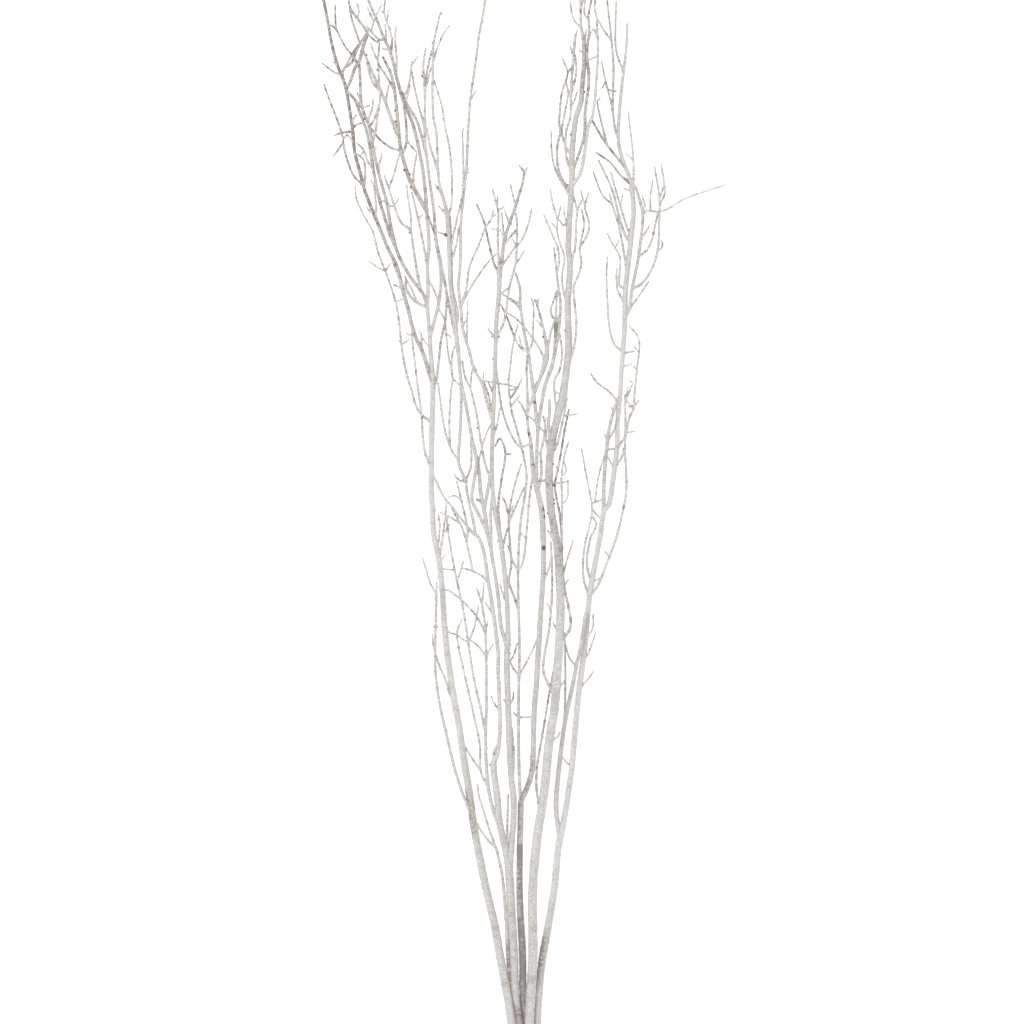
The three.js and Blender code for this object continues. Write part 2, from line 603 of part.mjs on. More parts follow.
const FAR_RIGHT_STEM = `
E - 9.2 2.4 0
  13.3,4 13,25 12.5,50 13.5,120 15.6,160 20,200 27,240 34.2,285 38.5,330 45,362 54.5,425 60,485
  64.6,528 70,568 76.4,635 83.2,675 89.3,708 93.5,735 100,745 104,771 109.2,813 109.6,840
  112.7,875 115.1,912 118,952 119.3,1000 125,1055 128.7,1096 125,1132 116.6,1155 111,1180
  113.2,1228 118.3,1273 121,1300 121.5,1321
F E 6 4 12
  40,342 36,378 38.6,418 46.3,480 53,512 61,552 66,575 71.6,614
Fa F 2.4 1.6 5
  46,478 47.2,530 46.5,590
Fb F 1.6 1.4 3
  60.5,550 52.5,558.5 47,576.5
Ea E 1.8 1.4 3
  55.3,434 51,432 45,438.5
Eb E 2 1.4 3
  64.2,524 73,532 81,543.5
Ec E 2 1.4 4
  69.2,562 73,561 83.5,589.5
Ed E 1.6 1.4 3
  71.4,582 79.8,594 80.7,611.5
Ee E 2.6 1.5 12
  75.9,630 68.8,656 69.8,691 78.7,730 78.6,745 72,780 67,809
Ef E 2.3 1.8 8
  78.5,648 73,673 77.3,703 84.3,719.5 78.9,730
Eg E 1.8 1.5 2
  92.2,727 84,732 79.8,738
H E 3 2.4 12
  76.6,635 86,646 97.3,674 109.3,707 119,750 120.5,768 118.7,812 119.3,845 118.5,873
Ha H 1.6 1.3 1
  100.1,681 94,688
Hb E 1.5 1.3 1
  79,650 88.7,655
Hc H 1.5 1.3 1
  119,828 131,831.5
I H 2.8 1.8 16
  118.9,822 124.2,848 129.3,859 130,874 133.2,907 136.2,932 134.3,945 124.5,957
Ia H 1.7 1.5 1
  118.6,869 128.5,861.5 134.5,867
Ib H 2 1.4 4
  118.7,865 126.3,885 127.7,888.7 124.7,892
Ic I 1.4 1.3 1
  133,906 128,910
J E 4.6 3.6 -1
  93.5,733 93.1,761 95.7,801 100.7,840 110.5,872
Ja J 1.8 1.5 1
  93.2,750 81,745.5
Jb Ja 1.5 1.3 2
  82.5,746 86.7,776 94,803
Jc J 1.6 1.5 2
  97.8,818 104,830 109.3,845
Jd J 2.2 1.5 8
  109,868 99,879.5 86,889 78.3,899.5
Je E 1.7 1.5 1
  106,785 98,801
Jf J 1.7 1.6 -1
  96.9,810 108,810.5
K E 2.4 2 3
  106.5,790 114.3,799 117.3,811
Ka E 2.6 2.4 13
  109.2,812 118,824 119,832
L E 2.4 1.6 16
  116.4,928 106,935.5 100,956 97.8,987 96.5,1020 97.8,1039
M E 2.4 1.8 8
  118.9,984 110,1000 108.4,1016 109,1025.5
N E 2.2 1.5 12
  119.4,1001 112,1007 112.7,1040 104,1055.5 98,1067.5
O E 2.8 2 10
  121.6,1022 116.6,1050 110.6,1080 103.4,1103 100.3,1117
Oa O 1.8 1.4 5
  103.1,1104 91.5,1115 80.7,1142.5
P E 3.4 1.8 10
  125.4,1059 119,1067 112.3,1086 103.4,1121 88,1154.5
Q E 2.3 1.7 14
  125.8,1063 119.2,1082 109,1116 102,1141.5
Qa Q 1.5 1.3 1
  113.5,1101 115.6,1113.5
R E 2.6 1.7 6
  125.3,1129 113,1139 101,1154 84.5,1165.5
S E 2.8 2.2 10
  119.5,1147 108.5,1160.5 93,1181 79,1205
Sa S 2.3 1.5 8
  97.5,1175 91,1200 85.5,1226.5 88,1230
T E 2.2 1.4 8
  111.2,1184 107,1193 103.3,1219 94.5,1256 91,1273.5
Ta T 2.6 2 10
  103.6,1217 104.5,1242 105,1269 102.5,1300 96,1361
Tb Ta 2 1.8 6
  102.5,1299 93,1313 86,1326
U E 2.2 1.7 6
  117,1261 108.2,1288 107.4,1316 108.2,1347
V E 2.8 1.5 7
  126.3,1119 129,1136 128.4,1163 124.6,1198 122.3,1216
Va V 1.5 1.3 1
  128.4,1158 120,1164
W E 3.8 3.2 10
  118.6,970 124,978 127,1001 133.7,1034 139.2,1075 140,1092 134,1117 129,1128
Wa W 1.8 1.5 6
  124.2,979 135,993 146.5,1010
Wb W 2.6 2 8
  135,1041 145,1049 151,1061 155.5,1081 158.7,1095
Wc W 2 1.8 8
  139.8,1094 147,1096 158.5,1094.5
Wd W 2 1.6 2
  139.2,1096 142.5,1102 139.6,1112.5
We Wc 2 1.5 4
  149.5,1096 149.3,1114 152,1131
Wf W 1.8 1.4 2
  137.2,1060 147.5,1077
X W 3.4 1.8 20
  127.4,1003 139,1009 151,1026 158,1049 159.6,1076 160,1110 154.5,1147.5
Xa X 1.8 1.5 2
  157.5,1047 163.5,1053 162.7,1060.5
Xb X 2.2 1.6 3
  159.9,1102 167,1118 167,1123.5
Xc X 2 1.6 4
  159.9,1110 165.5,1128 162.3,1150.5
Xd X 1.9 1.3 14
  159.8,1095 170,1098 190,1110 216,1119.5 239,1127
`;

// For a leader, and a few shoots that thicken or climb unevenly, the height of the middle and the
// width change with y: each row is y, height, width. The cut ends of the three lower stems, the far
// left stem near 850 and the far right one near 870 reach the surface and are flat under.
const PROFILES = {
  far_left: {
    A: [
      [0, 15.6, 11], [25, 15.8, 10.9], [50, 18.4, 10.6], [80, 19, 10.4], [120, 17.6, 10], [170, 17.2, 9.8],
      [300, 16, 9.2], [500, 13, 7.9], [700, 6.2, 6.5], [820, 2.3, 6.5], [888, 2.3, 6.3], [940, 4, 4.5],
      [1000, 5.4, 4.3], [1100, 8, 4], [1250, 12, 3.6], [1364, 16, 2.8],
    ],
  },
  left: {
    B: [
      [0, 4.3, 9.6], [25, 4.3, 9.6], [50, 7.3, 9.6], [80, 7.5, 9.6], [120, 9, 9.6], [300, 26, 9.5],
      [320, 28, 8], [360, 33, 8], [432, 42, 7], [445, 43, 4.8], [500, 50, 4.5], [650, 66, 4.5],
      [709, 72, 4], [720, 73, 2.6], [776, 78, 2.4],
    ],
    G: [
      [300, 26, 7], [560, 55, 7], [600, 60, 5.5], [700, 72, 5.5], [750, 78, 4.8], [850, 88, 4.8],
      [930, 95, 4.8], [985, 99, 5.5], [1025, 101.5, 5.5], [1035, 102, 2.8], [1121, 108, 2],
    ],
    X: [[841, 87, 3.6], [985, 112, 3.4], [1366, 137, 2.6]],
    Z: [
      [570, 56, 4.5], [760, 82, 3.8], [890, 100, 3.8], [940, 107, 5.2], [1090, 121, 5.2],
      [1140, 124, 3], [1333, 140, 2.2],
    ],
  },
  middle: {
    C: [
      [0, 3.95, 8.8], [25, 3.95, 8.8], [50, 7.1, 8.8], [80, 7.4, 8.8], [120, 9, 8.8], [250, 14, 7.6],
      [388, 24, 6.4], [565, 36, 6.5], [690, 44, 6], [705, 45, 7], [735, 47, 7], [800, 50, 5],
      [840, 53, 3], [927, 58, 2.2],
    ],
    Ce: [[854, 54, 3.2], [895, 58, 4.2], [912, 60, 6.6], [926, 61, 5.4], [942, 62, 3.4], [987, 65, 2.4]],
    V: [[382, 24, 3.6], [810, 46, 2.6], [958.5, 56, 1.8]],
  },
  right: {
    D: [
      [0, 15.5, 11], [25, 15.6, 11], [50, 18.3, 10.9], [80, 18.6, 10.8], [120, 20, 10.8], [300, 32, 10.5],
      [500, 53, 10.2], [600, 63, 10], [700, 73, 9], [850, 85, 9], [950, 93, 8], [1050, 98, 7],
      [1150, 103, 6.8], [1220, 107, 6], [1280, 110, 5], [1320, 112, 3], [1354, 113, 2.4],
    ],
    J: [[1138, 102, 2.6], [1208, 107, 2.6], [1276, 112, 3.4], [1290, 113, 3.6], [1306, 115, 3]],
    L: [[1142, 102.5, 2.8], [1187, 107, 3.4], [1215, 109, 3.6], [1286, 112, 3.2], [1360, 114, 2]],
  },
  far_right: {
    E: [
      [0, 4.1, 9.2], [25, 4.1, 9.2], [50, 7.1, 9.1], [80, 7.2, 9.1], [120, 7.6, 9], [200, 8.2, 8.8],
      [330, 9.8, 8.2], [362, 9.9, 7.2], [425, 9.8, 7], [548, 8.7, 6.6], [700, 6.2, 6.2], [793, 3.9, 5.8],
      [840, 2.9, 5.5], [870, 2.4, 5.4], [900, 3.1, 5.4], [952, 5.4, 6], [1000, 7.9, 6], [1096, 13.5, 6],
      [1150, 17, 4.4], [1250, 24, 3.6], [1321, 29, 2.4],
    ],
  },
};

const wasm = await Module();
wasm.setup();

// The value of a profile's column at y, on the straight line between its rows.
function profileAt(rows, y, column) {
  const next = rows.findIndex((row) => row[0] >= y);
  if (next === 0) return rows[0][column];
  if (next < 0) return rows[rows.length - 1][column];
  const [low, high] = [rows[next - 1], rows[next]];
  return THREE.MathUtils.mapLinear(y, low[0], high[0], low[column], high[column]);
}

// A stem's text as a list of shoots.
function readShoots(text) {
  const shoots = [];
  for (const line of text.trim().split("\n")) {
    if (line.startsWith("  ")) {
      for (const pair of line.trim().split(" ")) {
        const [x, y] = pair.split(",").map(Number);
        shoots[shoots.length - 1].points.push(new THREE.Vector3(x, y, 0));
      }
    } else {
      const [name, parent, ...numbers] = line.split(" ");
      const [rootWidth, tipWidth, climb] = numbers.map(Number);
      shoots.push({ name, parent, widths: [rootWidth, tipWidth], climb, points: [] });
    }
  }
  return shoots;
}

// The spot on the middle of a shoot that lies nearest to a point, seen from above.
function spotNear(shoot, point) {
  const flat = (p) => new THREE.Vector3(p.x, p.y, 0);
  let best = { distance: Infinity, spot: null };
  for (let i = 1; i < shoot.points.length; i += 1) {
    const [before, after] = [shoot.points[i - 1], shoot.points[i]];
    const line = new THREE.Line3(flat(before), flat(after));
    const along = line.closestPointToPointParameter(flat(point), true);
    const spot = before.clone().lerp(after, along);
    const distance = flat(spot).distanceTo(flat(point));
    if (distance < best.distance) best = { distance, spot };
  }
  return best.spot;
}

// Sets a shoot's root on its parent's middle, and gives each of its points a height and a width.
function raise(shoot, parent, profile) {
  const { points, climb } = shoot;
  const steps = points.map((point, i) => point.distanceTo(points[Math.max(i - 1, 0)]));
  const total = steps.reduce((sum, step) => sum + step, 0);
  const root = parent ? spotNear(parent, points[0]) : null;
  let walked = 0;
  shoot.widthsAt = points.map((point, i) => {
    walked += steps[i];
    const t = walked / total;
    point.z = profile ? profileAt(profile, point.y, 1) : root.z + climb * t * (1.5 - 0.5 * t);
    return profile ? profileAt(profile, point.y, 2) : THREE.MathUtils.lerp(...shoot.widths, t);
  });
  if (root) points[0].copy(root);
}

// The number of sides of a tube with these widths, and the bends that it leaves out.
function fineness(widths) {
  const [, sides, bend] = FINENESS.find(([width]) => Math.max(...widths) >= width);
  return { sides, bend };
}

// The numbers of the points that a polyline keeps when bends smaller than a size are dropped.
function keptPoints(points, first, last, bend) {
  const line = new THREE.Line3(points[first], points[last]);
  const spot = new THREE.Vector3();
  let far = { distance: bend, index: -1 };
  for (let i = first + 1; i < last; i += 1) {
    line.closestPointToPoint(points[i], true, spot);
    const distance = spot.distanceTo(points[i]);
    if (distance > far.distance) far = { distance, index: i };
  }
  if (far.index < 0) return [first, last];
  const near = keptPoints(points, first, far.index, bend);
  return [...near, ...keptPoints(points, far.index, last, bend).slice(1)];
}

// Moves a point so that it shows in its route's place from the eye.
function underEye(point) {
  const scale = (EYE_HEIGHT - point.z) / (EYE_HEIGHT - EYE_LEVEL);
  return new THREE.Vector3(EYE_X + (point.x - EYE_X) * scale, EYE_Y + (point.y - EYE_Y) * scale, point.z);
}

// A cylinder bent along a route, with one ring of corners at each of its points.
function tubeGeometry(points, widths) {
  const { sides } = fineness(widths);
  const rings = points.length - 1;
  const fullness = Math.sqrt((2 * Math.PI) / (sides * Math.sin((2 * Math.PI) / sides)));
  const frames = points.map((point, i) => {
    const before = points[Math.max(i - 1, 0)];
    const after = points[Math.min(i + 1, rings)];
    const into = point.clone().sub(before).normalize();
    const out = after.clone().sub(point).normalize();
    const along = into.add(out).normalize();
    const side = new THREE.Vector3().crossVectors(along, new THREE.Vector3(0, 0, 1)).normalize();
    return { side, up: new THREE.Vector3().crossVectors(side, along) };
  });
  const geometry = new THREE.CylinderGeometry(1, 1, rings, sides, rings);
  geometry.deleteAttribute("normal");
  geometry.deleteAttribute("uv");
  const place = geometry.getAttribute("position");
  for (let i = 0; i < place.count; i += 1) {
    const ring = Math.round(place.getY(i) + rings / 2);
    const reach = Math.hypot(place.getX(i), place.getZ(i)) * fullness * (widths[ring] / 2);
    const turn = Math.atan2(place.getZ(i), place.getX(i)) + Math.PI / sides + Math.PI / 2;
    const { side, up } = frames[ring];
    const corner = points[ring].clone().addScaledVector(side, Math.cos(turn) * reach);
    corner.addScaledVector(up, Math.sin(turn) * reach);
    place.setXYZ(i, corner.x, corner.y, corner.z);
  }
  return geometry;
}

// A closed geometry as a solid, and a solid as a geometry.
function toSolid(geometry) {
  const merged = mergeVertices(geometry, 1e-5);
  const vertProperties = new Float32Array(merged.getAttribute("position").array);
  const triVerts = new Uint32Array(merged.getIndex().array);
  return new wasm.Manifold(new wasm.Mesh({ numProp: 3, vertProperties, triVerts }));
}

function toGeometry(solid) {
  const mesh = solid.getMesh();
  const geometry = new THREE.BufferGeometry();
  geometry.setAttribute("position", new THREE.BufferAttribute(new Float32Array(mesh.vertProperties), 3));
  geometry.setIndex(new THREE.BufferAttribute(new Uint32Array(mesh.triVerts), 1));
  return geometry;
}

// The shoots of one stem, each grown from the one before that it names, with only the points that
// its tube keeps.
function growShoots(text, profiles) {
  const grown = new Map();
  for (const shoot of readShoots(text)) {
    raise(shoot, grown.get(shoot.parent), profiles[shoot.name]);
    const { points, widthsAt } = shoot;
    const kept = keptPoints(points, 0, points.length - 1, fineness(widthsAt).bend);
    grown.set(shoot.name, { points: kept.map((i) => points[i]), widths: kept.map((i) => widthsAt[i]) });
  }
  return [...grown.values()];
}

// The space above the surface, which no stem reaches below.
function aboveSurface() {
  const box = new THREE.BoxGeometry(2000, 4000, 1000).translate(0, 700, 500);
  box.deleteAttribute("normal");
  box.deleteAttribute("uv");
  return toSolid(box);
}

// One branched stem: its shoots joined in one solid, flat where it rests on the surface.
function stemGeometry(text, profiles) {
  let solid = null;
  for (const { points, widths } of growShoots(text, profiles)) {
    const tube = toSolid(tubeGeometry(points.map(underEye), widths));
    solid = solid ? solid.add(tube) : tube;
  }
  return toGeometry(solid.intersect(aboveSurface()));
}

// The outline, in x and z, of a band drawn tight round the stems and then moved out by a margin.
function bandOutline(sections, margin) {
  const outline = [];
  for (let i = 0; i < TIE_SIDES; i += 1) {
    const way = (2 * Math.PI * i) / TIE_SIDES;
    const out = new THREE.Vector2(Math.cos(way), Math.sin(way));
    let furthest = null;
    for (const { x, z, radius } of sections) {
      const spot = new THREE.Vector2(x, z).addScaledVector(out, radius + margin);
      if (!furthest || spot.dot(out) > furthest.dot(out)) furthest = spot;
    }
    outline.push(furthest);
  }
  return outline;
}

// A leader's section at y: the place of its middle, and its radius out to the tube's corners.
function sectionAt(leader, y) {
  const next = leader.points.findIndex((point) => point.y >= y);
  const [low, high] = [leader.points[next - 1], leader.points[next]];
  const t = (y - low.y) / (high.y - low.y);
  const { x, z } = underEye(low.clone().lerp(high, t));
  const width = THREE.MathUtils.lerp(leader.widths[next - 1], leader.widths[next], t);
  return { x, z, radius: (width / 2) * CORNER_REACH };
}

// The tie: a closed band with the stems passing through it.
function tieGeometry(stems) {
  const sections = [];
  for (const { text, profiles } of stems) {
    const leader = growShoots(text, profiles)[0];
    for (const y of [TIE_START, (TIE_START + TIE_END) / 2, TIE_END]) sections.push(sectionAt(leader, y));
  }
  const band = new THREE.Shape(bandOutline(sections, TIE_GAP + TIE_THICK));
  band.holes.push(new THREE.Path(bandOutline(sections, TIE_GAP)));
  const geometry = new THREE.ExtrudeGeometry(band, { depth: TIE_END - TIE_START, bevelEnabled: false });
  return geometry.rotateX(Math.PI / 2).translate(0, TIE_END, 0);
}

const whitePaint = { color: "#d9d4cd", roughness: 0.82, metalness: 0 };
const shadedPaint = { color: "#cfc8c0", roughness: 0.85, metalness: 0 };
const twine = { color: "#b59a70", roughness: 0.95, metalness: 0 };

const STEMS = [
  { name: "stem_far_left", text: FAR_LEFT_STEM, profiles: PROFILES.far_left, finish: whitePaint },
  { name: "stem_left", text: LEFT_STEM, profiles: PROFILES.left, finish: whitePaint },
  { name: "stem_middle", text: MIDDLE_STEM, profiles: PROFILES.middle, finish: shadedPaint },
  { name: "stem_right", text: RIGHT_STEM, profiles: PROFILES.right, finish: whitePaint },
  { name: "stem_far_right", text: FAR_RIGHT_STEM, profiles: PROFILES.far_right, finish: whitePaint },
];

function namedMesh(name, geometry, finish) {
  const mesh = new THREE.Mesh(geometry, new THREE.MeshStandardMaterial(finish));
  mesh.name = name;
  return mesh;
}

const bunch = new THREE.Group();
for (const { name, text, profiles, finish } of STEMS) {
  bunch.add(namedMesh(name, stemGeometry(text, profiles), finish));
}
bunch.add(namedMesh("tie", tieGeometry(STEMS), twine));

const middle = new THREE.Box3().setFromObject(bunch).getCenter(new THREE.Vector3());
bunch.position.set(-middle.x, -middle.y, 0);

export default bunch;
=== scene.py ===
"""A bunch of dry, white-painted birch branches on a pale floor, seen from straight above.

Five branched stems are tied together near their cut ends and lie on the floor with their tips
spread out along +Y. Every stem is a set of tapering shoots on listed routes, with swollen
rings, buds, knobs, scars and short side twigs, under thin white paint that lets the bark through.
Sizes are in millimetres up to to_frame(), which turns them into the frame's metres.
"""

import json
import logging
import math
import random
from collections.abc import Iterable, Sequence
from dataclasses import dataclass, field
from enum import Enum
from typing import Any

import bmesh
import bpy
from bmesh.types import BMesh, BMVert
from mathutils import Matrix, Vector, noise
from mathutils.geometry import interpolate_bezier

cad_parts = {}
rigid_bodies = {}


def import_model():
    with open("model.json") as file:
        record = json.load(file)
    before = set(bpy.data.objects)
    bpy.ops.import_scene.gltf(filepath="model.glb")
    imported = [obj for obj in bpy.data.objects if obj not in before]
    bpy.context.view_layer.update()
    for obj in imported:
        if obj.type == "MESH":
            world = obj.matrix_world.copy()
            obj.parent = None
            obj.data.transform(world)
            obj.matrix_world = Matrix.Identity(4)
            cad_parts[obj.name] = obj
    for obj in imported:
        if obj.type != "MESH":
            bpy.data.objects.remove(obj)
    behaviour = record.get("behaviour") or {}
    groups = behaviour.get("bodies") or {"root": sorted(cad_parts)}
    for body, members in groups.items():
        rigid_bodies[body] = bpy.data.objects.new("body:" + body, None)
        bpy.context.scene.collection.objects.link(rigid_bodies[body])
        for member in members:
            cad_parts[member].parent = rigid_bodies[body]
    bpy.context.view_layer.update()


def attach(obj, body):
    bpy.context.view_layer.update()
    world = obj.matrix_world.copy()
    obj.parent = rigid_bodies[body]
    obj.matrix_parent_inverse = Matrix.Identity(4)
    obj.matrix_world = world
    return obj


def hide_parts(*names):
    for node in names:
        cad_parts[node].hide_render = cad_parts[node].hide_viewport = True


log = logging.getLogger("birch_bunch")

Rows = Sequence[Sequence[float]]
Colour = tuple[float, float, float]

MM = 0.001

# The routes below are read in millimetres where the shoots show to an eye straight above the bunch.
# A point at the height EYE_LEVEL shows in its true place, one above or below it is moved so that
# it still shows where its route says. ORIGIN is the frame's origin on the routes' own plane.
EYE_HEIGHT = 10300.0
EYE_LEVEL = 60.0
EYE = Vector((-16.8, 734.4))
ORIGIN = Vector((-3.69, 681.55))

# The tie is wound round the stems between these two places, above the cut ends.
TIE_START = 51.0
TIE_END = 74.0

